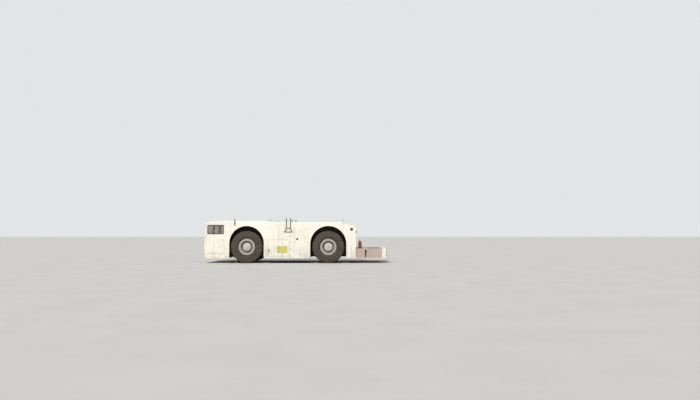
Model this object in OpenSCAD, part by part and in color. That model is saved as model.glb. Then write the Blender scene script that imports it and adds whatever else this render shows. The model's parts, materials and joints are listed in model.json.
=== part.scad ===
// Aircraft pushback tractor for wide-body aircraft: a slab-sided ballasted body on four big steered wheels,
// a full-width cab in the nose and a low ballast deck with a towing coupling behind the tail.
// X runs forward to the cab, Y to the left, Z up. The origin is on the ground below the middle of the box.

/* [Body] */
// Distance between the front and the rear axle
wheelbase = 4070; // [3980:10:4160]
// Front axle to the face of the front bumper
front_overhang = 2110; // [2090:10:2200]
// Rear axle to the tail wall of the high body
tail_overhang = 1370; // [1330:10:1480]
// Length of the low ballast deck behind the tail wall, bumper included
ballast_length = 1530; // [1400:10:1700]
// Width over the side plates
body_width = 3000; // [2970:10:3060]
// Height of the deck above the ground
deck_height = 2044; // [2020:4:2080]
// Height of the raised deck behind the cab above the main deck
deck_rise = 66; // [40:2:70]
// Height of the body's lower edge above the ground
ground_clearance = 240; // [220:5:260]
// Thickness of the heavy side plates
side_plate = 60; // [50:5:70]
// Thickness of the deck plate
deck_plate_thickness = 40; // [36:2:50]
// Thickness of the belly plate
belly_thickness = 50; // [40:5:55]
// Radius along the top outer edge of the body
shoulder_radius = 45; // [30:5:50]

/* [Wheels] */
// Outer diameter of a tyre
tyre_diameter = 1615; // [1580:5:1640]
// Width of a tyre
tyre_width = 498; // [470:2:500]
// Distance between the middle planes of the left and right tyre
track = 2440; // [2420:10:2450]
// Radius of the bead seat of the rim
bead_radius = 318; // [312:2:324]
// Outer radius of the rim flange
flange_radius = 404; // [396:2:410]
// Radius of the planetary hub
hub_radius = 205; // [190:5:215]
// Number of hand holes in the wheel disc
hand_holes = 10; // [6:1:12]
// Radius of the front wheel arch cut in the side plate
front_arch_radius = 860; // [850:5:880]
// Radius of the rear wheel arch cut in the side plate
rear_arch_radius = 900; // [880:5:910]
// Depth of the top of both arches below the main deck
arch_drop = 194; // [184:2:214]
// Radius of the wheel well behind the side plate
well_radius = 970; // [965:5:980]
// Thickness of the well's sheet
well_thickness = 15; // [10:1:18]

/* [Steering] */
// Distance of the kingpin from the tractor's centre line
kingpin_y = 950; // [945:5:955]
// Length of the steering arm from kingpin to tie rod
steering_arm = 300; // [290:5:310]
// Distance from kingpin to the stud of the steering cylinder
cylinder_arm = 230; // [225:5:235]
// Radius of the tie rod
tie_rod_radius = 24; // [20:1:24]
// Radius of the steering cylinder's piston rod
piston_rod_radius = 22; // [18:1:25]
// Running clearance round pins, spindles and rods
running_gap = 0.5; // [0.3:0.1:1]

/* [Cab] */
// Thickness of the cab's rear wall
cab_wall = 45; // [35:5:50]
// Height of the cab floor above the ground
cab_floor_height = 480; // [440:10:520]
// Height of the lower edge of the windows
sill_height = 1450; // [1400:10:1480]
// Height of the header between the windows and the roof
header_depth = 50; // [45:5:70]
// Depth of the roof's underside below the raised deck
header_drop = 160; // [155:5:165]
// Height of the roof's rear edge above the raised deck
roof_step = 5; // [0:1:20]
// Fall of the roof's top from its rear to its front edge
roof_fall = 130; // [100:5:135]
// Length of the cab door
door_length = 930; // [880:10:940]
// Gap round doors and lids
door_gap = 6; // [5:1:8]
// Thickness of the window glass
glass_thickness = 8; // [6:1:10]

/* [Deck and tail] */
// Length of the engine hatch opening along the deck
hatch_length = 1900; // [1700:50:1950]
// Width of the engine hatch opening across the deck
hatch_width = 1400; // [1200:50:1500]
// Number of louvre slats in each engine hatch
hatch_slats = 9; // [6:1:11]
// Height of the top of the ballast deck
ballast_height = 730; // [700:5:780]
// Length of the rear bumper beam along the tractor
rear_bumper_length = 220; // [200:10:260]
// Number of slats in the tail grille
grille_slats = 11; // [8:1:13]
// Length of the locker opening in the side plate
locker_length = 1050; // [950:10:1060]
// Height of the locker opening
locker_height = 830; // [800:10:850]
// Depth of the locker bin behind its door
locker_depth = 420; // [350:10:450]
// Reach of the coupling plates beyond the faces of the bumpers
coupling_reach = 120; // [110:5:140]

/* [Hidden] */
$fn = 96;

WHITE = "#f4f2e6";
DULL = "#b9a594";
DARK = "#2b2a28";
STEEL = "#6b6a66";
RUBBER = "#2c2825";
LOUVRE = "#d9d6c8";
GLASS = "lightblue";

// Stations along X, worked out from the overhangs
total_length = front_overhang + wheelbase + tail_overhang + ballast_length;
nose_x = total_length / 2;
front_axle_x = nose_x - front_overhang;
rear_axle_x = front_axle_x - wheelbase;
tail_x = rear_axle_x - tail_overhang;
end_x = tail_x - ballast_length;
cab_rear_x = front_axle_x + well_radius + well_thickness;
rise_front_x = front_axle_x - 940;
rise_rear_x = rise_front_x - 160;
tail_joint = rear_axle_x - 726;

// Half widths and heights
half_width = body_width / 2;
inner_width = half_width - side_plate;
wheel_z = tyre_diameter / 2;
wheel_y = track / 2;
raised_deck = deck_height + deck_rise;
arch_top = deck_height - arch_drop;
web_top = deck_height - deck_plate_thickness;
well_headroom = 89;
well_centre = web_top - well_headroom - well_thickness - well_radius;
fit = 0.3;
big = 4000;

// Each axle: [place along X, side of the tractor's middle, arch radius]
AXLES = [[front_axle_x, 1, front_arch_radius], [rear_axle_x, -1, rear_arch_radius]];

// Frame webs
web_y = 500;
web_thickness = 40;
web_bottom = 300;
web_end_x = tail_x + 170;
axle_gap_bottom = 480;
axle_gap_top = 320;
axle_gap_height = 1120;
cross_plate_x = 520;
cross_plate_thickness = 30;
cross_plate_z = [420, 1080];

// Axle, knuckle and wheel, measured from the kingpin or from the wheel's middle plane
tube_radius = 110;
bowl_radius = 250;
fist_radius = 95;
fist_height = 290;
ear_gap = 5;
ear_thickness = 50;
ear_half = fist_height / 2 + ear_gap + ear_thickness;
kingpin_radius = 35;
kingpin_depth = 60;
yoke_y = fist_radius + 10;
yoke_web = 32;
yoke_half_length = 120;
spindle_radius = 120;
spindle_reach = 50;
stud_radius = 18;
tie_eye_radius = 38;
tie_eye_height = 48;
tie_rod_drop = 0.5;
seat_half = 165;
flange_thickness = 32;
rim_inner = bead_radius - 20;
disc_inner = 20;
disc_outer = 48;
hub_back = 120;
hub_face = 225;

// Steering cylinder, its eye midway between the stud's places at rest and at full lock
cylinder_x = cylinder_arm * 0.953;
cylinder_lift = 105;
cylinder_z = wheel_z - cylinder_lift;
barrel_radius = 55;
barrel_start = 290;
barrel_end = 650;
piston_reach = 220;
eye_bore = 32;
eye_radius = 52;
eye_height = 60;
eye_stud_radius = 14;

// Cab
header_height = raised_deck - header_drop;
window_top = header_height - header_depth;
roof_rear = raised_deck + roof_step;
roof_front = roof_rear - roof_fall;
door_front_x = nose_x - 110;
door_rear_x = door_front_x - door_length;
door_thickness = 45;
door_bottom = cab_floor_height + door_gap;
door_top = header_height - door_gap;
door_frame = 75;
door_front_frame = 50;
corner_radius = 90;
nose_wall = 50;
screen_lean = 75;
screen_foot = sill_height - 40;
bumper_top = 950;
bumper_back_x = nose_x - 260;
bumper_back_half = half_width - 250;
seat_y = 620;
seat_clearance = 75;

// Tail, ballast deck and bumpers
tail_top_front = deck_height - 72;
tail_top_rear = tail_top_front - 87;
tail_web_top = tail_top_rear - side_plate - 45;
tail_corner = 60;
joint_gap = 6;
grille_half_width = 900;
grille_bottom = 900;
grille_top = tail_top_rear - 245;
ballast_bottom = 270;
ballast_half_width = 1420;
ballast_edge = 20;
rear_bumper_z = [250, 755];
step_notch = 90;
step_notch_depth = 260;
notch_x = tail_x - 540;
pocket_half_width = 210;
pocket_depth = 190;

// Coupling plates inside a bumper pocket
coupling_gaps = 3;
coupling_pitch = 120;
coupling_plate = 30;
coupling_half_width = 125;
coupling_corner = 90;
coupling_bore = 30;
coupling_bore_x = 75;
coupling_stack_height = coupling_gaps * coupling_pitch + coupling_plate;
pocket_z = [310, 310 + coupling_stack_height];

// Hinges: the axis lies this far outside the surface and this far from the panel's edge
hinge_lift = 12;
hinge_inset = 10;
hinge_radius = 10;
hinge_part = 30;
hinge_slot = 0.4;
hinge_seat = 0.5;
hinge_leaf = 65;
hinge_leaf_thickness = 8;
door_hinge_leaf = 22;
door_axis_x = door_front_x - door_gap + hinge_inset;
door_hinge_z = [640, 1330];

// Engine
engine_length = 1350;
engine_half_width = 380;
engine_behind_axle = 620;

// Engine hatches, lockers, ladders and deck fittings
hatch_rear_x = tail_joint + 100;
hatch_thickness = 36;
hatch_frame = 90;
hatch_hinge_x = [hatch_rear_x + 285, hatch_rear_x + hatch_length - 375];
locker_front_x = front_axle_x - well_radius - well_thickness - 65;
locker_rear_x = locker_front_x - locker_length;
locker_bottom = 350;
locker_top = locker_bottom + locker_height;
locker_thickness = 50;
locker_axis_x = locker_rear_x + door_gap - hinge_inset;
locker_hinge_z = [372, 796];
bin_sheet = 10;
ladder_x = locker_rear_x + 22;
ladder_half = 100;
ladder_foot = 187;
ladder_tube = 19;
ladder_foot_z = deck_height - 484;
ladder_knee_z = deck_height - 304;
ladder_top_z = raised_deck + 120;
ladder_stand_off = 45;
foot_pocket_x = locker_rear_x - 90;
foot_pocket_z = [for (i = [3 : -1 : 1]) ladder_foot_z - 10 - 330 * i];
foot_pocket = [150, 150, 45];
grab_post_x = front_axle_x + 592;
grab_stand_off = 32;
lift_eye_x = [rise_rear_x - 70, hatch_rear_x - 75];
lift_eye_bore = 24;
lift_eye_radius = 48;
lift_eye_rise = 84;
lift_eye_thickness = 30;
lift_eye_inset = 45;
lamp_z = 790;
lamp_radius = 85;
lamp_depth = 70;
headlamp_y = [-1180, -960, 960, 1180];
tail_lamp = [40, 220, 120];
tail_lamp_y = half_width - 360;
side_lamp_x = front_axle_x - 5228;
side_lamp_z = tail_top_rear - 200;
side_lamp_radius = 65;
extinguisher_x = front_axle_x - 5650;
extinguisher_y = ballast_half_width - 130;
extinguisher_radius = 84;
extinguisher_height = 395;

// Mirrors its children to the right-hand side when side is -1.
module on_side(side) {
    mirror([0, side < 0 ? 1 : 0, 0]) children();
}

// Draws its children on the left and, mirrored, on the right.
module both_sides() {
    for (side = [-1, 1]) on_side(side) children();
}

// Extrudes a drawing of X and Z along Y, from y0 to y1.
module across(y0, y1) {
    translate([0, y1, 0]) rotate([90, 0, 0]) linear_extrude(height = y1 - y0) children();
}

// Extrudes a drawing of Y and Z along X, from x0 to x1.
module along(x0, x1) {
    translate([x0, 0, 0]) rotate([90, 0, 90]) linear_extrude(height = x1 - x0) children();
}

// A box by its two corners.
module block(low, high) {
    translate(low) cube(high - low);
}

// What rounding a drawn corner removes, the corner lying at the origin and the plate towards -X and -Y of it.
module corner_cut(r) {
    translate([-r, -r]) difference() {
        square([r + 1, r + 1]);
        circle(r);
    }
}

// A drawn rectangle by its two corners, its corners rounded.
module round_rect(low, high, r) {
    translate([low[0] + r, low[1]]) square([high[0] - low[0] - 2 * r, high[1] - low[1]]);
    translate([low[0], low[1] + r]) square([high[0] - low[0], high[1] - low[1] - 2 * r]);
    for (x = [low[0] + r, high[0] - r], y = [low[1] + r, high[1] - r])
        translate([x, y]) circle(r);
}

// A plan view from x0 to x1 over the whole width, its corners at x1 rounded.
module nose_plan(x0, x1, half, r) {
    difference() {
        translate([x0, -half]) square([x1 - x0, 2 * half]);
        for (side = [-1, 1]) mirror([0, side < 0 ? 1 : 0]) translate([x1, half]) corner_cut(r);
    }
}

// A round bar between two points.
module bar(a, b, r) {
    d = b - a;
    translate(a) rotate([0, acos(d[2] / norm(d)), atan2(d[1], d[0])]) cylinder(r = r, h = norm(d));
}

// One half of a hinge whose axis is Z, its leaf on a surface at Y = -hinge_lift. The fixed half has the two
// outer barrels and a leaf towards +X, the moving half the barrel between them and a leaf towards -X.
module hinge_half(fixed, leaf = hinge_leaf) {
    slot = fixed ? hinge_slot : 0;
    way = fixed ? 1 : -1;
    for (z = fixed ? [0, 2 * hinge_part + slot] : [hinge_part]) {
        h = hinge_part - slot;
        translate([0, 0, z]) cylinder(r = hinge_radius, h = h);
        translate([way > 0 ? hinge_radius / 2 : -leaf, -hinge_lift - hinge_seat, z])
            cube([leaf - hinge_radius / 2, hinge_leaf_thickness + hinge_seat, h]);
    }
}

// One half of a cab door hinge on the left side, the fixed leaf short because the corner curves away
module door_hinge(fixed, z) {
    translate([door_axis_x, half_width + hinge_lift, z]) hinge_half(fixed, fixed ? door_hinge_leaf : hinge_leaf);
}

// The halves of the left locker door's hinges, at the door's rear edge
module locker_hinges(fixed) {
    for (z = locker_hinge_z) translate([locker_axis_x, half_width + hinge_lift, z]) mirror([1, 0, 0]) hinge_half(fixed);
}

// One half of a hinge of the left deck hatch, its axis along X
module deck_hinge(fixed, x) {
    translate([x, hatch_width / 2 + hinge_inset - door_gap, deck_height + hinge_lift])
        rotate([0, 90, 0]) rotate([0, 0, 90]) hinge_half(fixed);
}

// The opening of a wheel arch or well: a half circle on straight sides, down past the lower edge.
module arch_outline(axle_x, r, centre) {
    translate([axle_x, centre]) circle(r, $fn = 160);
    translate([axle_x - r, ground_clearance - 60]) square([2 * r, centre - ground_clearance + 60]);
}

// What rounding a lower corner removes, the plate lying towards -X or +X of it.
module lower_corner_cut(corner_x, towards, r) {
    translate([corner_x, ground_clearance]) mirror([0, 1]) mirror([towards > 0 ? 1 : 0, 0]) corner_cut(r);
}

// Frame webs with gaps for the axles, the cross plates between them and the belly plate
module chassis_frame() {
    color(DARK) {
        difference() {
            both_sides() across(web_y - web_thickness, web_y)
                polygon([[web_end_x, web_bottom], [cab_rear_x, web_bottom], [cab_rear_x, web_top],
                         [tail_joint, web_top], [tail_joint, tail_web_top], [web_end_x, tail_web_top]]);
            for (axle = AXLES) across(-web_y - 1, web_y + 1)
                polygon([[axle[0] - axle_gap_bottom, web_bottom - 1], [axle[0] - axle_gap_top, axle_gap_height],
                         [axle[0] + axle_gap_top, axle_gap_height], [axle[0] + axle_gap_bottom, web_bottom - 1]]);
        }
        for (axle = AXLES, end = [-1, 1])
            block([axle[0] + end * cross_plate_x - cross_plate_thickness / 2, web_thickness - web_y - 1, cross_plate_z[0]],
                  [axle[0] + end * cross_plate_x + cross_plate_thickness / 2, web_y - web_thickness + 1, cross_plate_z[1]]);
        belly_half = wheelbase / 2 - well_radius - well_thickness;
        middle = (front_axle_x + rear_axle_x) / 2;
        block([middle - belly_half, -inner_width, ground_clearance],
              [middle + belly_half, inner_width, ground_clearance + belly_thickness]);
        both_sides() block([middle - belly_half + 60, web_y - web_thickness, ground_clearance + belly_thickness - 1],
                           [middle + belly_half - 60, web_y, web_bottom + 1]);
    }
}

// Cross section of one side plate up to a deck height, its top outer edge rounded
module side_section(top) {
    difference() {
        translate([inner_width, ground_clearance]) square([side_plate, top - ground_clearance]);
        translate([half_width, top]) corner_cut(shoulder_radius);
    }
}

// Slab sides with wheel arches, the locker openings with their bins, and foot pockets below the ladders
module side_plates() {
    color(WHITE) both_sides() {
        difference() {
            union() {
                along(tail_joint, rise_rear_x + 1) side_section(deck_height);
                along(rise_front_x, cab_rear_x) side_section(raised_deck);
                along(rise_rear_x, rise_front_x + 1) side_section(deck_height);
                across(inner_width, half_width - shoulder_radius)
                    polygon([[rise_rear_x, deck_height - 60], [rise_front_x + 1, deck_height - 60],
                             [rise_front_x + 1, raised_deck], [rise_front_x, raised_deck], [rise_rear_x, deck_height]]);
            }
            across(inner_width - 1, half_width + 1) {
                for (axle = AXLES) arch_outline(axle[0], axle[2], arch_top - axle[2]);
                lower_corner_cut(front_axle_x - front_arch_radius, -1, 110);
                lower_corner_cut(rear_axle_x + rear_arch_radius, 1, 110);
                round_rect([locker_rear_x, locker_bottom], [locker_front_x, locker_top], 30);
            }
            across(half_width - foot_pocket[2], half_width + 1) for (z = foot_pocket_z)
                round_rect([foot_pocket_x - foot_pocket[0] / 2, z],
                           [foot_pocket_x + foot_pocket[0] / 2, z + foot_pocket[1]], 35);
        }
        locker_bin();
        locker_hinges(true);
    }
}

// Sheet bin behind the locker door, open to the outside
module locker_bin() {
    low = [locker_rear_x - bin_sheet, inner_width - locker_depth, locker_bottom - bin_sheet];
    high = [locker_front_x + bin_sheet, inner_width, locker_top + bin_sheet];
    wall = [bin_sheet, bin_sheet, bin_sheet];
    difference() {
        block(low, high);
        block(low + wall, high - [bin_sheet, -1, bin_sheet]);
    }
}

// Deck plate, raised behind the cab, with the engine hatch opening, lifting eyes and the exhaust outlet
module deck_plate() {
    t = deck_plate_thickness;
    color(WHITE) {
        difference() {
            across(-inner_width, inner_width)
                polygon([[tail_joint, deck_height - t], [rise_rear_x + 8, deck_height - t],
                         [rise_front_x + 8, raised_deck - t], [cab_rear_x, raised_deck - t], [cab_rear_x, raised_deck],
                         [rise_front_x, raised_deck], [rise_rear_x, deck_height], [tail_joint, deck_height]]);
            block([hatch_rear_x, -hatch_width / 2, deck_height - t - 1],
                  [hatch_rear_x + hatch_length, hatch_width / 2, deck_height + 1]);
        }
        for (x = lift_eye_x) both_sides() translate([x, inner_width - lift_eye_inset, deck_height - 1]) lifting_eye();
        both_sides() for (x = hatch_hinge_x) deck_hinge(true, x);
        translate([tail_joint + 150, 230 - half_width, deck_height - 1]) exhaust_outlet();
    }
}

// Upright plate with a shackle hole
module lifting_eye() {
    translate([0, lift_eye_thickness / 2, 0]) rotate([90, 0, 0]) linear_extrude(height = lift_eye_thickness)
    difference() {
        union() {
            translate([-lift_eye_radius, 0]) square([2 * lift_eye_radius, lift_eye_rise]);
            translate([0, lift_eye_rise]) circle(lift_eye_radius);
        }
        translate([0, lift_eye_rise]) circle(lift_eye_bore);
    }
}

// Low elbow outlet of the exhaust, its mouth facing right
module exhaust_outlet() {
    difference() {
        union() {
            cylinder(r = 75, h = 13);
            cylinder(r = 50, h = 75);
            translate([0, 0, 75]) sphere(52);
            translate([0, 0, 75]) rotate([90, 0, 0]) cylinder(r = 50, h = 110);
        }
        translate([0, 0, 75]) rotate([90, 0, 0]) cylinder(r = 44, h = 111);
    }
}

// Arched sheet tunnels round the four wheels
module wheel_wells() {
    color(DARK) for (axle = AXLES) both_sides() across(web_y, inner_width) difference() {
        intersection() {
            arch_outline(axle[0], well_radius + well_thickness, well_centre);
            translate([axle[0] - big / 2, ground_clearance]) square([big, big]);
        }
        arch_outline(axle[0], well_radius, well_centre);
    }
}

// Outline of the tail from the side, inset by a wall, its top sloping down to the rear
module tail_outline(inset) {
    x0 = tail_x + inset;
    x1 = tail_joint - joint_gap + inset;
    z1 = tail_top_rear - inset;
    z2 = tail_top_front - inset;
    z0 = ground_clearance - inset;
    r = inset > 0 ? 10 : tail_corner;
    difference() {
        polygon([[x1, z0], [x0, z0], [x0, z1], [x0 + r, z1], [x1, z2]]);
        translate([x0, z1]) mirror([1, 0]) corner_cut(r);
    }
}

// Tail housing: cheeks, sloping top and tail wall with the grille opening and lamp pockets
module tail_housing() {
    color(WHITE) difference() {
        across(-half_width, half_width) tail_outline(0);
        across(-inner_width, inner_width) tail_outline(side_plate);
        across(-half_width - 1, half_width + 1) {
            arch_outline(rear_axle_x, rear_arch_radius, arch_top - rear_arch_radius);
            lower_corner_cut(rear_axle_x - rear_arch_radius, -1, 40);
        }
        along(tail_x - 1, tail_x + side_plate + 1)
            round_rect([-grille_half_width, grille_bottom], [grille_half_width, grille_top], 40);
        both_sides() translate([side_lamp_x, half_width - 30, side_lamp_z]) rotate([-90, 0, 0])
            cylinder(r = side_lamp_radius, h = 31);
    }
}

// Grille frame with slanted slats in the tail wall
module tail_grille() {
    frame = 35;
    low = [-grille_half_width, grille_bottom];
    high = [grille_half_width, grille_top];
    pitch = (grille_top - grille_bottom - 2 * frame) / grille_slats;
    color(DARK) {
        along(tail_x + 8, tail_x + 38) difference() {
            round_rect(low + [fit, fit], high - [fit, fit], 40 - fit);
            round_rect(low + [frame, frame], high - [frame, frame], 8);
        }
        for (i = [0 : grille_slats - 1])
            across(low[0] + frame - 1, high[0] - frame + 1)
                translate([tail_x + 10, grille_bottom + frame + pitch * (i + 0.15)])
                    polygon([[0, 0], [26, pitch * 0.5], [26, pitch * 0.5 + 6], [0, 6]]);
        for (y = [-1 / 3, 1 / 3])
            block([tail_x + 12, y * grille_half_width - 12, grille_bottom + frame - 1],
                  [tail_x + 34, y * grille_half_width + 12, grille_top - frame + 1]);
    }
}

// Low ballast deck behind the tail wall, with a step notch in each side
module ballast_deck() {
    half = ballast_half_width;
    e = ballast_edge;
    color(DULL) difference() {
        along(end_x + rear_bumper_length, tail_x) {
            translate([-half, ballast_bottom]) square([2 * half, ballast_height - ballast_bottom - e]);
            translate([e - half, ballast_bottom]) square([2 * (half - e), ballast_height - ballast_bottom]);
            for (y = [e - half, half - e]) translate([y, ballast_height - e]) circle(e);
        }
        both_sides() block([notch_x, half - step_notch_depth, ballast_bottom - 1],
                           [notch_x + step_notch, half + 1, ballast_height - 60]);
    }
}

// Rear bumper beam with rounded ends and the pocket of the coupling
module rear_bumper() {
    color(WHITE) difference() {
        translate([0, 0, rear_bumper_z[0]]) linear_extrude(height = rear_bumper_z[1] - rear_bumper_z[0])
            mirror([1, 0]) nose_plan(-end_x - rear_bumper_length, -end_x, half_width - 40, corner_radius);
        block([end_x - 1, -pocket_half_width, pocket_z[0]], [end_x + pocket_depth, pocket_half_width, pocket_z[1]]);
    }
}

// Deep nose beam with rounded corners, lamp pockets and the pocket of the coupling
module front_bumper() {
    color(WHITE) difference() {
        union() {
            translate([0, 0, ground_clearance]) linear_extrude(height = bumper_top - ground_clearance)
                nose_plan(door_front_x, nose_x, half_width, corner_radius);
            block([bumper_back_x, -bumper_back_half, ground_clearance],
                  [door_front_x + 1, bumper_back_half, bumper_top]);
        }
        block([nose_x - pocket_depth, -pocket_half_width, pocket_z[0]], [nose_x + 1, pocket_half_width, pocket_z[1]]);
        for (y = headlamp_y) translate([nose_x - lamp_depth, y, lamp_z]) rotate([0, 90, 0])
            cylinder(r = lamp_radius, h = lamp_depth + 1);
    }
    color(WHITE) both_sides() door_hinge(true, door_hinge_z[0]);
}

// One stack of coupling plates, its jaws facing +X, bored for a drop pin
module coupling_stack() {
    w = coupling_half_width;
    difference() {
        union() {
            for (i = [0 : coupling_gaps]) translate([0, 0, i * coupling_pitch]) linear_extrude(height = coupling_plate) {
                difference() {
                    translate([-pocket_depth, -w]) square([pocket_depth + coupling_reach, 2 * w]);
                    for (side = [0, 1]) mirror([0, side]) translate([coupling_reach, w]) corner_cut(coupling_corner);
                }
            }
            block([-pocket_depth, -w, 0], [coupling_plate - pocket_depth, w, coupling_stack_height]);
        }
        translate([coupling_reach - coupling_bore_x, 0, -1]) cylinder(r = coupling_bore, h = coupling_stack_height + 2);
    }
}

// Towing couplings in both bumpers
module tow_couplings() {
    color(STEEL) {
        translate([nose_x, 0, pocket_z[0]]) coupling_stack();
        translate([end_x, 0, pocket_z[0]]) rotate([0, 0, 180]) coupling_stack();
    }
}

// Rigid drive axle: bowl, tapered tubes, fists for the kingpins, pads below the webs, drive shaft and cylinder
module axle_housing(axle_x, fore) {
    translate([axle_x, 0, wheel_z]) mirror([fore < 0 ? 1 : 0, 0, 0]) {
        difference() {
            union() {
                rotate([90, 0, 0]) cylinder(r = tube_radius, h = 2 * kingpin_y - fist_radius, center = true);
                sphere(bowl_radius);
                for (turn = [90, -90]) rotate([turn, 0, 0]) cylinder(r1 = bowl_radius * 0.8, r2 = tube_radius, h = 480);
                rotate([0, -90, 0]) cylinder(r = 95, h = 380);
                rotate([0, -90, 0]) cylinder(r = 45, h = cross_plate_x - cross_plate_thickness / 2);
                for (side = [-1, 1]) {
                    translate([0, side * kingpin_y, 0]) cylinder(r = fist_radius, h = fist_height, center = true);
                    block([-150, side * (web_y - web_thickness / 2) - 50, 60],
                          [150, side * (web_y - web_thickness / 2) + 50, axle_gap_height - wheel_z]);
                }
                block([-cylinder_x - 30, barrel_start - 70, -cylinder_lift - 30],
                      [-60, barrel_start - 15, 60 - cylinder_lift]);
                translate([-cylinder_x, barrel_end, -cylinder_lift]) rotate([90, 0, 0]) {
                    cylinder(r = barrel_radius, h = barrel_end - barrel_start + 20);
                    cylinder(r = barrel_radius + 8, h = 45);
                    translate([0, 0, barrel_end - barrel_start - 25]) cylinder(r = barrel_radius + 6, h = 40);
                }
            }
            for (side = [-1, 1], end = [-1, 1])
                translate([0, side * kingpin_y, end * (fist_height / 2 - kingpin_depth / 2)])
                    cylinder(r = kingpin_radius + running_gap, h = kingpin_depth + 4, center = true);
            translate([-cylinder_x, barrel_end + 1, -cylinder_lift]) rotate([90, 0, 0])
                cylinder(r = piston_rod_radius + running_gap, h = barrel_end - barrel_start - 9);
        }
    }
}

module axle_housings() {
    color(DARK) for (axle = AXLES) axle_housing(axle[0], axle[1]);
}

// Piston rod with its eye round the stud of the steering arm
module piston_rod(axle_x, fore) {
    rod_length = kingpin_y - barrel_end + piston_reach;
    color(STEEL) translate([axle_x - fore * cylinder_x, kingpin_y, cylinder_z]) difference() {
        union() {
            rotate([90, 0, 0]) cylinder(r = piston_rod_radius, h = rod_length);
            translate([0, 0, -eye_height / 2]) cylinder(r = eye_radius, h = eye_height);
        }
        translate([0, 0, -eye_height]) cylinder(r = eye_bore, h = 2 * eye_height);
    }
}

// Steering knuckle: ears over and below the axle's fist, yoke web, spindle, kingpin stubs and steering arm
module knuckle(axle_x, side, fore) {
    color(STEEL) translate([axle_x, side * kingpin_y, wheel_z])
        mirror([fore < 0 ? 1 : 0, 0, 0]) on_side(side) {
            for (end = [-1, 1]) {
                z0 = end > 0 ? ear_half - ear_thickness : -ear_half;
                translate([0, 0, z0]) cylinder(r = fist_radius, h = ear_thickness);
                block([-fist_radius, 0, z0], [fist_radius, yoke_y + 1, z0 + ear_thickness]);
                translate([0, 0, end * (ear_half - ear_thickness / 2 - kingpin_depth / 2)])
                    cylinder(r = kingpin_radius, h = kingpin_depth + ear_thickness / 2, center = true);
            }
            block([-yoke_half_length, yoke_y, -ear_half], [yoke_half_length, yoke_y + yoke_web, ear_half]);
            translate([0, yoke_y + yoke_web - 1, 0]) rotate([-90, 0, 0])
                cylinder(r = spindle_radius, h = wheel_y - kingpin_y - yoke_y - yoke_web + spindle_reach + 1);
            steering_lever(side);
        }
}

// Steering arm with the stud of the tie rod below it and, on the left, the cylinder's stud above it
module steering_lever(side) {
    translate([0, 0, -ear_half]) {
        linear_extrude(height = ear_thickness) {
            translate([-steering_arm, -tie_eye_radius]) square([steering_arm, 2 * tie_eye_radius]);
            translate([-steering_arm, 0]) circle(tie_eye_radius);
        }
        translate([-steering_arm, 0, -tie_rod_drop - tie_eye_height - 6])
            cylinder(r = stud_radius, h = tie_rod_drop + tie_eye_height + 7);
        translate([-steering_arm, 0, -tie_rod_drop - tie_eye_height - 14.5]) cylinder(r = stud_radius + 9, h = 14);
        if (side > 0)
            translate([-cylinder_arm, 0, ear_thickness - 1])
                cylinder(r = eye_stud_radius, h = ear_half - cylinder_lift - ear_thickness + eye_height / 2 + 10);
    }
}

// Tie rod between the two steering arms of an axle
module tie_rod(axle_x, fore) {
    z1 = wheel_z - ear_half - tie_rod_drop;
    color(STEEL) translate([axle_x - fore * steering_arm, 0, z1 - tie_eye_height]) difference() {
        union() {
            translate([0, 0, tie_eye_height / 2]) rotate([90, 0, 0])
                cylinder(r = tie_rod_radius, h = 2 * kingpin_y - tie_eye_radius, center = true);
            for (side = [-1, 1]) translate([0, side * kingpin_y, 0]) cylinder(r = tie_eye_radius, h = tie_eye_height);
        }
        for (side = [-1, 1]) translate([0, side * kingpin_y, -1])
            cylinder(r = stud_radius + running_gap, h = tie_eye_height + 2);
    }
}

// Puts a wheel piece, drawn about Z with the outboard side up, on its hub.
module on_hub(axle_x, side) {
    translate([axle_x, side * wheel_y, wheel_z]) rotate([side > 0 ? -90 : 90, 0, 0]) children();
}

// Half section of the tyre, [radius, offset from the middle plane]: bead, sidewall arc, shoulder arc
function tyre_section() =
    let (half = tyre_width / 2, crown = tyre_diameter / 2, mid = crown - 245, tread_half = half - 50, steps = 6)
    let (lower = [for (i = [0 : steps]) let (u = 90 * i / steps)
            [flange_radius + 3 + (mid - flange_radius - 3) * (1 - cos(u)), seat_half + (half - seat_half) * sin(u)]])
    let (upper = [for (i = [1 : steps]) let (u = 90 * i / steps)
            [mid + (crown - mid) * pow(sin(u), 0.8), tread_half + (half - tread_half) * pow(cos(u), 0.7)]])
    let (flank = concat([[bead_radius, seat_half]], lower, upper))
    concat(flank, [for (i = [len(flank) - 1 : -1 : 0]) [flank[i][0], -flank[i][1]]]);

module tyre(axle_x, side) {
    color(RUBBER) on_hub(axle_x, side) rotate_extrude() polygon(tyre_section());
}

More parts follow.
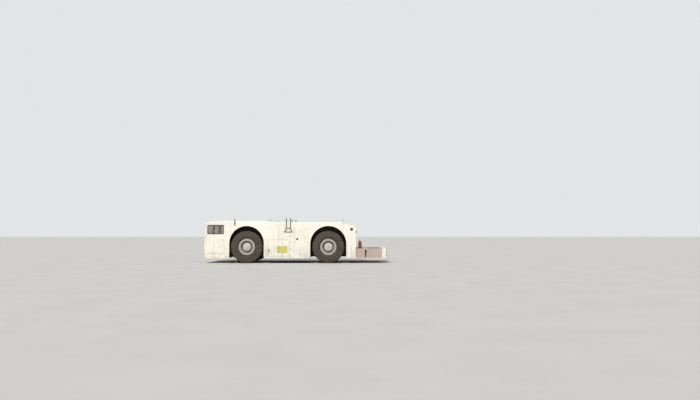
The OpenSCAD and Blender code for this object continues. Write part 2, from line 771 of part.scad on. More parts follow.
// Rim with flanges, dished disc with hand holes and planetary hub
module rim(axle_x, side) {
    seat = bead_radius - fit;
    edge = seat_half + fit;
    bore = spindle_radius + running_gap;
    color(WHITE) on_hub(axle_x, side) difference() {
        rotate_extrude() polygon([
            [bore, -hub_back], [hub_radius, -hub_back], [hub_radius, disc_inner], [rim_inner, disc_inner],
            [rim_inner, -edge - flange_thickness], [flange_radius - 8, -edge - flange_thickness],
            [flange_radius, -edge - flange_thickness + 8], [flange_radius, -edge], [seat, -edge],
            [seat, edge], [flange_radius, edge], [flange_radius, edge + flange_thickness - 8],
            [flange_radius - 8, edge + flange_thickness], [rim_inner + 14, edge + flange_thickness],
            [rim_inner, edge + flange_thickness - 30], [rim_inner, disc_outer + 20], [rim_inner - 15, disc_outer],
            [hub_radius + 12, disc_outer], [hub_radius, disc_outer + 12],
            [hub_radius, 128], [hub_radius - 18, 140], [hub_radius - 24, 196], [hub_radius - 70, 208],
            [hub_radius - 80, hub_face], [0, hub_face], [0, spindle_reach + 10], [bore, spindle_reach + 10]
        ]);
        for (i = [0 : hand_holes - 1]) rotate([0, 0, i * 360 / hand_holes])
            translate([(hub_radius + rim_inner) / 2 + 2, 0, disc_inner - 1]) cylinder(r = 22, h = disc_outer - disc_inner + 2);
    }
}

// Engine as one block over the rear axle on four feet, and the radiator behind the tail grille
module engine() {
    z0 = axle_gap_height + 30;
    z1 = web_top - 224;
    web_inner = web_y - web_thickness;
    color(STEEL) translate([rear_axle_x - engine_behind_axle, 0, 0]) {
        block([0, -engine_half_width, z0], [engine_length, engine_half_width, z1]);
        block([250, -200, z1 - 1], [engine_length - 250, 200, z1 + 120]);
        for (x = [150, engine_length - 270]) both_sides()
            block([x, engine_half_width - 1, z0 + 30], [x + 120, web_inner, z0 + 90]);
    }
    color(STEEL) {
        block([tail_x + side_plate + 10, -grille_half_width + 20, grille_bottom + 10],
              [web_end_x, grille_half_width - 20, grille_top - 10]);
    }
}

// One stile of a ladder: foot bracket, slanted foot, upright and gooseneck down to the deck
module ladder_stile(end) {
    y = half_width + ladder_stand_off;
    ball = ladder_tube + 3;
    neck = ladder_top_z - ladder_tube;
    foot = [ladder_x + end * ladder_foot, y, ladder_foot_z];
    knee = [ladder_x + end * ladder_half, y, ladder_knee_z];
    head = [knee[0], y, neck];
    rear = [knee[0], y - 150, neck];
    bar([foot[0], half_width, foot[2]], foot, ladder_tube);
    bar(foot, knee, ladder_tube);
    bar([knee[0], half_width, knee[2]], knee, ladder_tube);
    bar(knee, head, ladder_tube);
    bar(head, rear, ladder_tube);
    bar([rear[0], rear[1], deck_height], rear, ladder_tube);
    for (p = [foot, knee, head, rear]) translate(p) sphere(ball, $fn = 48);
}

// Boarding ladders over the deck edge, and the grab posts behind the cab
module access_ladders() {
    y = half_width + ladder_stand_off;
    post = [grab_post_x, half_width + grab_stand_off, 0];
    color(STEEL) both_sides() {
        for (end = [-1, 1]) ladder_stile(end);
        bar([ladder_x - ladder_foot, y, ladder_foot_z], [ladder_x + ladder_foot, y, ladder_foot_z], ladder_tube - 4);
        bar([ladder_x - ladder_half, y, ladder_knee_z], [ladder_x + ladder_half, y, ladder_knee_z], ladder_tube - 4);
        bar(post + [0, 0, raised_deck - 230], post + [0, 0, raised_deck + 80], 24);
        for (z = [raised_deck - 205, raised_deck - 75]) bar(post + [0, -grab_stand_off, z], post + [0, 0, z], 14);
    }
}

// Cab floor, rear wall and the narrow side walls behind the doors
module cab_tub() {
    color(WHITE) {
        block([cab_rear_x, -half_width, ground_clearance], [bumper_back_x, half_width, cab_floor_height]);
        both_sides() block([bumper_back_x - 1, bumper_back_half, ground_clearance],
                           [door_front_x, half_width, cab_floor_height]);
        block([cab_rear_x, -half_width, cab_floor_height - 1], [cab_rear_x + cab_wall, half_width, header_height]);
        both_sides() block([cab_rear_x, half_width - door_thickness - 15, cab_floor_height - 1],
                           [door_rear_x - door_gap, half_width, header_height]);
    }
}

// Front wall below and round the windscreen, leaning back above the sill, with the corner pillars
module cab_front() {
    top_x = nose_x - screen_lean;
    side = half_width - nose_wall - 15;
    color(WHITE) {
        difference() {
            intersection() {
                translate([0, 0, bumper_top]) linear_extrude(height = header_height - bumper_top)
                    nose_plan(door_front_x, nose_x, half_width, corner_radius);
                across(-half_width - 1, half_width + 1)
                    polygon([[door_front_x - 1, bumper_top], [nose_x, bumper_top], [nose_x, screen_foot],
                             [top_x, header_height], [door_front_x - 1, header_height]]);
            }
            across(-side, side)
                polygon([[door_front_x - 1, bumper_top - 1], [nose_x - nose_wall, bumper_top - 1],
                         [nose_x - nose_wall, screen_foot], [top_x - nose_wall, header_height + 1],
                         [door_front_x - 1, header_height + 1]]);
            along(nose_x - 250, nose_x + 1)
                round_rect([120 - half_width, sill_height], [half_width - 120, window_top], 40);
        }
        both_sides() door_hinge(true, door_hinge_z[1]);
    }
}

// Roof plate, curved down to the windscreen, with rounded front corners
module cab_roof() {
    front_x = nose_x - 30;
    color(WHITE) intersection() {
        translate([0, 0, header_height]) linear_extrude(height = 300)
            nose_plan(cab_rear_x, front_x, half_width, corner_radius);
        across(-half_width - 1, half_width + 1)
            polygon([[cab_rear_x, header_height], [front_x, header_height], [front_x, roof_front - 15],
                     [front_x - 15, roof_front], [front_x - 200, (roof_front + roof_rear) / 2],
                     [front_x - 400, roof_rear - 22], [front_x - 600, roof_rear], [cab_rear_x, roof_rear]]);
    }
}

// Windscreen pane in the leaning front opening
module cab_glass() {
    rise = header_height - screen_foot;
    x0 = nose_x - nose_wall + 15;
    color(GLASS, 0.4) intersection() {
        across(-half_width, half_width)
            polygon([[x0, screen_foot], [x0 + glass_thickness, screen_foot],
                     [x0 + glass_thickness - screen_lean, screen_foot + rise], [x0 - screen_lean, screen_foot + rise]]);
        along(nose_x - 250, nose_x + 1)
            round_rect([120 - half_width + fit, sill_height + fit], [half_width - 120 - fit, window_top - fit], 40 - fit);
    }
}

// Window opening in a cab door, grown or shrunk all round
module door_window(grow) {
    round_rect([door_rear_x + door_frame - grow, sill_height - grow],
               [door_front_x - door_gap - door_front_frame + grow, window_top - 10 + grow], 40 + grow);
}

// Cab door with its window opening, moving hinge halves and pull handle
module cab_door(side) {
    color(WHITE) on_side(side) {
        difference() {
            across(half_width - door_thickness, half_width)
                round_rect([door_rear_x, door_bottom], [door_front_x - door_gap, door_top], 30);
            across(half_width - door_thickness - 1, half_width + 1) door_window(0);
        }
        for (z = door_hinge_z) door_hinge(false, z);
        translate([door_rear_x + 50, half_width - 1, 1180]) {
            for (x = [0, 110]) block([x, 0, 0], [x + 30, 30, 26]);
            block([0, 27, 0], [140, 43, 26]);
        }
    }
}

module door_glass(side) {
    middle = half_width - door_thickness / 2;
    color(GLASS, 0.4) on_side(side)
        across(middle - glass_thickness / 2, middle + glass_thickness / 2) door_window(-fit);
}

// Two seats on the cab floor
module cab_seats() {
    x = cab_rear_x + cab_wall + seat_clearance;
    color(DARK) for (y = [-seat_y, seat_y]) translate([x, y, cab_floor_height]) {
        block([60, -180, 0], [420, 180, 191]);
        block([30, -240, 190], [500, 240, 300]);
        translate([30, 0, 280]) rotate([0, -6, 0]) block([0, -230, 0], [100, 230, 620]);
        translate([0, 0, 890]) rotate([0, -6, 0]) block([-25, -130, 0], [55, 130, 190]);
    }
}

// Instrument console below the windscreen with the steering wheel, and the box between the seats
module cab_controls() {
    x1 = nose_x - nose_wall - fit;
    hub = [x1 - 430, seat_y, sill_height - 210];
    foot = [x1 - 240, seat_y, sill_height - 320];
    color(DARK) {
        across(160 - half_width, half_width - 160)
            polygon([[x1 - 300, sill_height - 370], [x1 - 230, bumper_top], [x1, bumper_top], [x1, sill_height - 120],
                     [x1 - 60, sill_height - 120], [x1 - 280, sill_height - 230]]);
        block([cab_rear_x + cab_wall + 40, -170, cab_floor_height], [cab_rear_x + cab_wall + 520, 170, 930]);
        bar(foot, hub, 28);
        translate(hub) rotate([0, -60, 0]) {
            rotate_extrude() translate([200, 0]) circle(15);
            for (a = [90, 210, 330]) rotate([0, 0, a]) translate([0, -14, -6]) cube([196, 28, 12]);
            translate([0, 0, -14]) cylinder(r = 45, h = 28);
        }
    }
}

// Headlamps in the bumper pockets, tail lamps on the tail wall and round side lamps in the tail cheeks
module lamps() {
    color("red") both_sides() {
        block([tail_x - tail_lamp[0], tail_lamp_y, grille_top - 140],
              [tail_x, tail_lamp_y + tail_lamp[1], grille_top - 140 + tail_lamp[2]]);
        translate([side_lamp_x, half_width - 30, side_lamp_z]) rotate([-90, 0, 0])
            cylinder(r = side_lamp_radius - fit, h = 26);
    }
    color("white") for (y = headlamp_y) translate([nose_x - lamp_depth, y, lamp_z]) rotate([0, 90, 0]) {
        cylinder(r = lamp_radius - fit, h = lamp_depth - 10);
        translate([0, 0, lamp_depth - 11]) cylinder(r1 = lamp_radius - 7, r2 = lamp_radius - 23, h = 9);
    }
}

// Fire extinguisher standing on the ballast deck by the tail wall
module fire_extinguisher() {
    color("#7a2a2a") translate([extinguisher_x, extinguisher_y, ballast_height]) {
        h = extinguisher_height;
        r = extinguisher_radius;
        cylinder(r = r, h = h - 75);
        translate([0, 0, h - 75]) cylinder(r1 = r, r2 = 30, h = 45);
        cylinder(r = 20, h = h);
        block([-20, -15, h - 20], [r - 9, 15, h + 5]);
    }
}

// Half of the engine hatch with louvre slots, its hinges at the outboard edge
module engine_hatch(side) {
    x0 = hatch_rear_x + door_gap;
    x1 = hatch_rear_x + hatch_length - door_gap;
    y0 = 4;
    y1 = hatch_width / 2 - door_gap;
    z1 = deck_height;
    z0 = z1 - hatch_thickness;
    pitch = (x1 - x0 - 2 * hatch_frame) / hatch_slats;
    color(LOUVRE) on_side(side) {
        difference() {
            block([x0, y0, z0], [x1, y1, z1]);
            for (i = [0 : hatch_slats - 1])
                block([x0 + hatch_frame + pitch * (i + 0.2), y0 + hatch_frame, z0 - 1],
                      [x0 + hatch_frame + pitch * (i + 0.75), y1 - hatch_frame, z1 + 1]);
        }
        for (i = [0 : hatch_slats - 1])
            across(y0 + hatch_frame - 1, y1 - hatch_frame + 1)
                translate([x0 + hatch_frame + pitch * (i + 0.2), z0])
                    polygon([[-2, 4], [pitch * 0.45, hatch_thickness - 8], [pitch * 0.45, hatch_thickness - 2], [-2, 10]]);
        for (x = hatch_hinge_x) deck_hinge(false, x);
    }
}

// Locker door in the side plate, hinged at its rear edge, with its latch
module locker_door(side) {
    low = [locker_rear_x + door_gap, locker_bottom + door_gap];
    high = [locker_front_x - door_gap, locker_top - door_gap];
    color(WHITE) on_side(side) {
        across(half_width - locker_thickness, half_width) round_rect(low, high, 26);
        translate([locker_front_x - 75, half_width - 1, locker_bottom + 210]) cube([30, 23, 160]);
        locker_hinges(false);
    }
}

chassis_frame();
side_plates();
deck_plate();
wheel_wells();
tail_housing();
tail_grille();
ballast_deck();
rear_bumper();
front_bumper();
tow_couplings();
axle_housings();
engine();
access_ladders();
cab_tub();
cab_front();
cab_roof();
cab_glass();
cab_seats();
cab_controls();
lamps();
fire_extinguisher();
cab_door(1);  // door_left
cab_door(-1);  // door_right
door_glass(1);  // door_glass_left
door_glass(-1);  // door_glass_right
engine_hatch(1);  // hatch_left
engine_hatch(-1);  // hatch_right
locker_door(1);  // locker_left
locker_door(-1);  // locker_right
knuckle(front_axle_x, 1, 1);  // knuckle_front_left
knuckle(front_axle_x, -1, 1);  // knuckle_front_right
knuckle(rear_axle_x, 1, -1);  // knuckle_rear_left
knuckle(rear_axle_x, -1, -1);  // knuckle_rear_right
rim(front_axle_x, 1);  // rim_front_left
rim(front_axle_x, -1);  // rim_front_right
rim(rear_axle_x, 1);  // rim_rear_left
rim(rear_axle_x, -1);  // rim_rear_right
tyre(front_axle_x, 1);  // tyre_front_left
tyre(front_axle_x, -1);  // tyre_front_right
tyre(rear_axle_x, 1);  // tyre_rear_left
tyre(rear_axle_x, -1);  // tyre_rear_right
tie_rod(front_axle_x, 1);  // tie_rod_front
tie_rod(rear_axle_x, -1);  // tie_rod_rear
piston_rod(front_axle_x, 1);  // piston_rod_front
piston_rod(rear_axle_x, -1);  // piston_rod_rear
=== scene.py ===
"""Finishes, fittings, seats and stage of an aircraft pushback tractor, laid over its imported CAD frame."""

import json
import math

import bmesh
import bpy
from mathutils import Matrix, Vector


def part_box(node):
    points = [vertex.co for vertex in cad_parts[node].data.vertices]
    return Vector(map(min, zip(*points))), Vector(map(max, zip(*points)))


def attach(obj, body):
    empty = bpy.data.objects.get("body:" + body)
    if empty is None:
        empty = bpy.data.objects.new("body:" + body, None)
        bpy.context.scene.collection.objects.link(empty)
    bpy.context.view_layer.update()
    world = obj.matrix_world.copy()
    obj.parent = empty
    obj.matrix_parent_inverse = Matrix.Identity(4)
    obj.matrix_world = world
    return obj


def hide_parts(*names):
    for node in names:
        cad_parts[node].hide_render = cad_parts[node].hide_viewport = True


bl_info = {
    "name": "Pushback tractor dressing",
    "version": (1, 0, 0),
    "blender": (4, 5, 0),
    "location": "View3D > Sidebar > Tractor",
    "description": "Gives a pushback tractor its finishes, tyre treads, lamps, fittings, seats and stage",
    "category": "Object",
}

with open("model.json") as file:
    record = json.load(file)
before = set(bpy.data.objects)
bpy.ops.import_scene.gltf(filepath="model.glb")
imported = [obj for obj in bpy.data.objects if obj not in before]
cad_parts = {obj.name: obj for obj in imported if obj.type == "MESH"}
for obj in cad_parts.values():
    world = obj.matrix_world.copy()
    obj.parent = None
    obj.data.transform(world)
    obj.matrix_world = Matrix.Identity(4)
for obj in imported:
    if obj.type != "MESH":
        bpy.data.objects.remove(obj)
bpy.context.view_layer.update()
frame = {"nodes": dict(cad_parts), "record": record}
X, Y, Z = (1, 0, 0), (0, 1, 0), (0, 0, 1)
SIDES = (("left", 1), ("right", -1))

# The body that everything fixed rides on
ROOT = next(name for name, members in frame["record"]["behaviour"]["bodies"].items() if "cab_tub" in members)

# Steps in height that no box of the frame shows, in metres
HINGE_RISE = 0.022
DECK_STEP = 0.066

# Faces of the body that the fittings sit on, read from the frame, in metres
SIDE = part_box("cab_tub")[1].y
CAB_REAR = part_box("cab_tub")[0].x
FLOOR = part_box("cab_seats")[0].z
DOOR_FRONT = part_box("cab_front")[0].x
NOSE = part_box("front_bumper")[1].x
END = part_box("rear_bumper")[0].x
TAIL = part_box("tail_housing")[0].x
BALLAST_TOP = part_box("ballast_deck")[1].z
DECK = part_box("hatch_left")[1].z - HINGE_RISE
RAISED_DECK = DECK + DECK_STEP

# The bores of the lifting eyes, from the record's mounts
EYES = [mount["pos_m"] for mount in frame["record"]["mounts"] if mount["name"].startswith("lifting_eye")]
EYE_STATIONS = sorted({eye[0] for eye in EYES})
EYE_HEIGHT = EYES[0][2]

# The two faces of a left lifting eye along Y, each with the way that it looks
EYE_FACES = ((1.38, -1), (1.41, 1))

# Each wheel: its name, the centre of its middle plane, and the side that it faces
WHEELS = []
for axle in ("front", "rear"):
    for side_name, side in SIDES:
        low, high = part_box(f"tyre_{axle}_{side_name}")
        WHEELS.append((f"{axle}_{side_name}", (low + high) / 2, side))
AXLES = (("front", WHEELS[0][1]), ("rear", WHEELS[2][1]))
TYRE_RADIUS = (high.z - low.z) / 2
TYRE_HALF = (high.y - low.y) / 2
FIRST_WHEEL = WHEELS[0][1]

# Places of the fittings, in metres
HEADLAMPS = [Vector((NOSE, y, 0.79)) for y in (1.18, 0.96)]
SIDE_LAMP = Vector((-2.798, SIDE, 1.685))
FILLER_CAP = Vector((-0.093, SIDE, 1.2))
KINGPIN_Y = 0.95
DRIVER_Y = 0.62
RAISED_START, RAISED_END = 1.6, 3.3
BOLT_PITCH = 0.2

# How far the windscreen leans along X for each metre of height
SCREEN_SLOPE = -0.14


def srgb(red, green, blue):
    """A colour given as it shows on a screen, from 0 to 255, as linear values."""

    def linear(value):
        value /= 255
        return value / 12.92 if value <= 0.04045 else ((value + 0.055) / 1.055) ** 2.4

    return linear(red), linear(green), linear(blue)


# Modelling helpers


def take(*objects):
    """Selects only these objects and makes the first one active."""
    bpy.ops.object.select_all(action="DESELECT")
    for obj in objects:
        obj.select_set(True)
    bpy.context.view_layer.objects.active = objects[0]


def named(obj, name):
    """Names a piece and its mesh."""
    obj.name = name
    obj.data.name = name
    return obj


def added():
    """The primitive that was just added, with its place moved into its mesh."""
    obj = bpy.context.active_object
    take(obj)
    bpy.ops.object.transform_apply(location=True, rotation=True, scale=True)
    return obj


def edit(obj, kind="FACE", everything=False):
    """Opens an object in edit mode with all or nothing selected."""
    take(obj)
    bpy.ops.object.mode_set(mode="EDIT")
    bpy.ops.mesh.select_mode(type=kind)
    bpy.ops.mesh.select_all(action="SELECT" if everything else "DESELECT")


def leave():
    """Goes back to object mode."""
    bpy.ops.object.mode_set(mode="OBJECT")


def pick(kind, test):
    """Selects the faces, edges or verts of the mesh in edit mode that pass a test, and no others."""
    mesh = bpy.context.edit_object.data
    shape = bmesh.from_edit_mesh(mesh)
    for element in getattr(shape, kind):
        element.select_set(bool(test(element)))
    if kind == "verts":
        shape.select_flush(True)
    bmesh.update_edit_mesh(mesh)


def sink(obj, test, border, step):
    """Insets the faces that pass a test, and moves what is inside the border by a step."""
    edit(obj)
    pick("faces", test)
    bpy.ops.mesh.inset(thickness=border)
    bpy.ops.mesh.extrude_region_move(TRANSFORM_OT_translate={"value": step})
    leave()
    return obj


def tilt(obj, angle, pivot):
    """Turns a whole piece about a line along Y."""
    edit(obj, "VERT", everything=True)
    bpy.ops.transform.rotate(value=angle, orient_axis="Y", center_override=pivot)
    leave()
    return obj


def modify(obj, kind, **settings):
    """Applies one modifier to a piece."""
    take(obj)
    bpy.ops.object.modifier_add(type=kind)
    modifier = obj.modifiers[-1]
    for key, value in settings.items():
        setattr(modifier, key, value)
    bpy.ops.object.modifier_apply(modifier=modifier.name)
    return obj


def mirrored(obj):
    """Adds the mirror image across the middle plane to a piece."""
    return modify(obj, "MIRROR", use_axis=(False, True, False), use_mirror_merge=False)


def row(obj, count, step):
    """Repeats a piece in a straight row, joined as one mesh."""
    return modify(obj, "ARRAY", count=count, use_relative_offset=False, use_constant_offset=True,
                  constant_offset_displace=step)


def ring_of(obj, count, centre, axis):
    """Repeats a piece round an axis, joined as one mesh."""
    edit(obj, everything=True)
    angle = 2 * math.pi * (count - 1) / count
    bpy.ops.mesh.spin(steps=count - 1, dupli=True, angle=angle, center=centre, axis=axis)
    leave()
    return obj


def smooth(obj, angle=35):
    """Shades a piece smooth, apart from its sharp edges."""
    take(obj)
    bpy.ops.object.shade_smooth_by_angle(angle=math.radians(angle))
    return obj


def round_sharp(obj, width, segments=2, angle=30):
    """Rounds every edge that is sharper than an angle."""
    edit(obj, "EDGE")
    bpy.ops.mesh.edges_select_sharp(sharpness=math.radians(angle))
    bpy.ops.mesh.bevel(offset=width, segments=segments, affect="EDGES", clamp_overlap=True)
    leave()
    return obj


def block(low, high):
    """A sharp box by its lower and its upper corner."""
    bpy.ops.object.select_all(action="DESELECT")
    bpy.ops.mesh.primitive_cube_add(size=1, location=(low + high) / 2, scale=high - low)
    return added()


def slab(low, high, width=0.003, segments=2, at=(0, 0, 0)):
    """A box with rounded edges, by any two opposite corners measured from a point."""
    a = Vector([min(p, q) for p, q in zip(low, high)]) + Vector(at)
    b = Vector([max(p, q) for p, q in zip(low, high)]) + Vector(at)
    return round_sharp(block(a, b), min(width, min(b - a) * 0.45), segments)


def rod(start, end, radius, sides=24, width=0.002, end_radius=None, at=(0, 0, 0)):
    """A round bar or cone with chamfered ends, between two points measured from another one."""
    start, end = Vector(start) + Vector(at), Vector(end) + Vector(at)
    turn = (end - start).to_track_quat("Z", "Y").to_euler()
    bpy.ops.object.select_all(action="DESELECT")
    bpy.ops.mesh.primitive_cone_add(
        vertices=sides, radius1=radius, radius2=radius if end_radius is None else end_radius,
        depth=(end - start).length, location=(start + end) / 2, rotation=turn)
    return round_sharp(added(), width, 1, 50)


def drawn(points):
    """A line through points, left in edit mode with all of it selected."""
    bpy.ops.object.select_all(action="DESELECT")
    bpy.ops.mesh.primitive_plane_add(size=0.01, location=points[0])
    obj = added()
    edit(obj, "VERT", everything=True)
    bpy.ops.mesh.merge(type="CENTER")
    bpy.ops.mesh.select_all(action="SELECT")
    for before, point in zip(points, points[1:]):
        bpy.ops.mesh.extrude_vertices_move(TRANSFORM_OT_translate={"value": Vector(point) - Vector(before)})
    bpy.ops.mesh.select_all(action="SELECT")
    return obj


def turned(outline, centre, axis, steps=48, way=1, closed=False):
    """An outline of places along an axis and radii about it, spun round it through a centre."""
    along, across = Vector(axis) * way, Vector(X if axis == Z else Z)
    points = [centre + along * place + across * radius for place, radius in outline]
    obj = drawn(points + points[:1] if closed else points)
    bpy.ops.mesh.spin(steps=steps, angle=2 * math.pi, center=centre, axis=axis)
    bpy.ops.mesh.select_all(action="SELECT")
    bpy.ops.mesh.remove_doubles(threshold=0.00002)
    bpy.ops.mesh.normals_make_consistent(inside=False)
    leave()
    return obj


def join(*parts):
    """Joins pieces into one."""
    take(*parts)
    if len(parts) > 1:
        bpy.ops.object.join()
    return bpy.context.active_object


def hex_bolt(foot, outward, across, height):
    """A hexagon head on a washer, its foot on a surface."""
    rise = Vector(outward) * height
    washer = rod((0, 0, 0), rise * 0.25, across * 0.72, 20, height * 0.06, at=foot)
    head = rod(rise * 0.2, rise, across / 2, 6, height * 0.15, at=foot)
    return join(head, washer)


def copy_of(obj, name="copy", shift=(0, 0, 0), half_turn_about=None):
    """A copy with its own mesh, turned half round an upright axis if asked, and then moved."""
    take(obj)
    bpy.ops.object.duplicate(linked=False)
    if half_turn_about is not None:
        bpy.ops.transform.rotate(value=math.pi, orient_axis="Z", center_override=half_turn_about)
    bpy.ops.transform.translate(value=shift)
    return named(added(), name)


def finish(obj, finish_name, body=ROOT):
    """Gives a piece its finish and the body that it rides on."""
    obj.data.materials.clear()
    obj.data.materials.append(FINISHES[finish_name])
    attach(obj, body)
    return obj


def fit(name, parts, finish_name, body=ROOT, both_sides=False, as_shaded=False):
    """Joins parts as one finished piece, smooth unless they stay as shaded, and mirrored if asked."""
    obj = named(join(*parts), name)
    if not as_shaded:
        smooth(obj)
    if both_sides:
        mirrored(obj)
    return finish(obj, finish_name, body)


# Finishes


FINISHES = {}


class Finish:
    """One material being built from nodes, with short calls for the nodes that the finishes share."""

    def __init__(self, name, roughness, metallic=0.0, **sockets):
        material = bpy.data.materials.new(f"{name}_finish")
        material.use_nodes = True
        FINISHES[name] = material
        self.tree = material.node_tree
        self.shader = self.tree.nodes["Principled BSDF"]
        self.shader.inputs["Roughness"].default_value = roughness
        self.shader.inputs["Metallic"].default_value = metallic
        for socket, value in sockets.items():
            self.shader.inputs[socket.replace("_", " ")].default_value = value
        self.place = self.add("ShaderNodeTexCoord").outputs["Object"]

    def add(self, kind, links=None, **settings):
        node = self.tree.nodes.new(kind)
        for key, value in settings.items():
            setattr(node, key, value)
        for socket, value in (links or {}).items():
            self.feed(node.inputs[socket], value)
        return node

    def feed(self, socket, value):
        """Links a socket, or sets it when the value is plain."""
        if isinstance(value, bpy.types.NodeSocket):
            self.tree.links.new(value, socket)
        elif hasattr(value, "__len__") and len(socket.default_value) == 4:
            socket.default_value = (*value, 1)
        else:
            socket.default_value = value

    def stretched(self, scale, shift=(0, 0, 0)):
        """Object coordinates, scaled and shifted."""
        links = {"Vector": self.place, "Scale": scale, "Location": shift}
        return self.add("ShaderNodeMapping", links).outputs[0]

    def noise(self, scale, detail, roughness=0.55, place=None):
        links = {"Vector": place or self.place, "Scale": scale, "Detail": detail, "Roughness": roughness}
        return self.add("ShaderNodeTexNoise", links).outputs["Fac"]

    def cells(self, scale):
        """The distance from the middle of the nearest of many small cells."""
        return self.add("ShaderNodeTexVoronoi", {"Vector": self.place, "Scale": scale}).outputs["Distance"]

    def between(self, value, low, high, to_low=0.0, to_high=1.0):
        """The value spread from low..high over to_low..to_high, and held at the ends."""
        links = {"Value": value, "From Min": low, "From Max": high, "To Min": to_low, "To Max": to_high}
        return self.add("ShaderNodeMapRange", links).outputs["Result"]

    def patches(self, low, high, *noise):
        """Noise, spread from low..high over 0..1."""
        return self.between(self.noise(*noise), low, high)

    def calculate(self, operation, *values, clamp=False):
        links = dict(enumerate(values))
        return self.add("ShaderNodeMath", links, operation=operation, use_clamp=clamp).outputs[0]

    def times(self, first, *others):
        """A product of shares, held to 0..1."""
        for other in others:
            first = self.calculate("MULTIPLY", first, other, clamp=True)
        return first

    def mix(self, amount, under, over):
        node = self.add("ShaderNodeMix", data_type="RGBA")
        self.feed(node.inputs["Factor"], amount)
        self.feed(node.inputs[6], under)
        self.feed(node.inputs[7], over)
        return node.outputs[2]

    def clouded(self, colour, share, low, *noise):
        """A colour with soft clouds, in which it has only a share of its brightness."""
        return self.mix(self.patches(low, 0.7, *noise), colour, [part * share for part in colour])

    def along(self, axis):
        """One of the Object coordinates, as a value."""
        return self.add("ShaderNodeSeparateXYZ", {"Vector": self.place}).outputs[axis]

    def up(self):
        """How far the surface faces upwards, from -1 to 1."""
        normal = self.add("ShaderNodeNewGeometry").outputs["Normal"]
        return self.add("ShaderNodeSeparateXYZ", {"Vector": normal}).outputs["Z"]

    def radius_about(self, centre):
        """The distance from a wheel's axis, which runs along Y."""
        flat = self.stretched((1, 0, 1), (-centre.x, 0, -centre.z))
        return self.add("ShaderNodeVectorMath", {0: flat}, operation="LENGTH").outputs["Value"]

    def coat(self, colour, *shares):
        """Lays a colour over the coats below it, as thick as the product of some shares."""
        self.base = self.mix(self.times(*shares), self.base, colour) if shares else colour
        self.feed(self.shader.inputs["Base Color"], self.base)

    def roughness(self, value, low, high, smoothest, roughest):
        """Sets the roughness by a value that runs from low to high."""
        self.feed(self.shader.inputs["Roughness"], self.between(value, low, high, smoothest, roughest))

    def bump(self, height, strength, distance):
        node = self.add("ShaderNodeBump", {"Height": height, "Strength": strength, "Distance": distance})
        self.feed(self.shader.inputs["Normal"], node.outputs["Normal"])


def body_paint(name, paint, settings):
    """Gloss paint with rain streaks, road dust along the lower edge, soot patches and small rusty chips."""
    f = Finish(name, 0.4, Coat_Weight=0.15, Coat_Roughness=0.25)
    f.coat(f.clouded(paint, 0.95, 0.35, 0.9, 3))
    streaks = f.patches(0.46, 0.62, 1.0, 7, 0.62, f.stretched((11, 11, 0.5)))
    upright = f.between(f.up(), 0.75, 0.45)
    f.coat(settings.grime_colour, streaks, f.patches(0.4, 0.56, 0.55, 3), upright, settings.grime)
    smears = f.patches(0.5, 0.68, 1.6, 7, 0.6, f.stretched((0.55, 1, 2.6), (3, 1, 0)))
    f.coat(settings.grime_colour, smears, 0.45, settings.grime)
    low_dust = f.times(f.between(f.along("Z"), 0.95, 0.24), f.patches(0.36, 0.6, 3.5, 7, 0.6))
    f.coat(settings.dust_colour, low_dust, min(1, 1.6 * settings.grime))
    thickness = f.between(f.noise(2.2, 7, 0.6), 0.4, 0.62, 0.15, 0.85)
    flat_dust = f.times(f.between(f.up(), 0.6, 0.95), thickness)
    f.coat(settings.dust_colour, flat_dust, min(1, 1.2 * settings.grime))
    chips = f.times(f.patches(0.68, 0.72, 26, 5, 0.6), f.patches(0.5, 0.58, 2.7, 3))
    f.coat(settings.rust_colour, chips)
    dull = f.calculate("MAXIMUM", low_dust, f.calculate("MAXIMUM", flat_dust, chips))
    f.roughness(dull, 0, 1, 0.34, 0.85)
    f.bump(f.mix(0.7, f.noise(2.2, 2), f.noise(180, 2)), 0.3, 0.004)


def dusty_paint(name, paint, settings, roughness=0.6, wear=0.5, grain=90):
    """Satin paint on steel below and between the panels, with dust on what faces up and bare scuffs."""
    f = Finish(name, roughness)
    f.coat(f.clouded(paint, 0.7, 0.35, 4, 5))
    f.coat(settings.steel_colour, f.patches(0.58, 0.68, 14, 6, 0.65), wear)
    dust = f.times(f.between(f.up(), -0.2, 0.9, 0.2, 1), f.patches(0.35, 0.7, 6, 6))
    f.coat(settings.dust_colour, dust, 0.7)
    f.roughness(dust, 0, 1, roughness - 0.1, 0.9)
    f.bump(f.noise(grain, 5, 0.6), 0.25, 0.002)


def grit_paint(name, paint, settings):
    """Paint mixed with coarse grit, trodden darker in clouds and dusty in patches."""
    f = Finish(name, 0.85)
    f.coat(f.clouded(paint, 0.74, 0.35, 1.8, 6, 0.6))
    f.coat(settings.dust_colour, f.patches(0.48, 0.75, 5, 6, 0.65), 0.5)
    cells = f.cells(210)
    f.coat([min(1, part * 1.5) for part in paint], f.between(cells, 0.45, 0.1, 0, 0.35))
    f.bump(cells, 0.6, 0.002)


def deck_paint(name, settings):
    """Scuffed paint of the ballast deck, gritty against slipping, darker and redder by the tail wall."""
    f = Finish(name, 0.75)
    f.coat(f.clouded(settings.deck_colour, 0.86, 0.35, 2.4, 6))
    f.coat(settings.deck_shade_colour, f.between(f.along("X"), -3.56, -3.44), 0.75)
    f.coat(settings.dust_colour, f.patches(0.52, 0.75, 1.0, 6, 0.6, f.stretched((9, 9, 0.7))), 0.35)
    f.bump(f.mix(0.5, f.cells(160), f.noise(12, 5)), 0.4, 0.003)


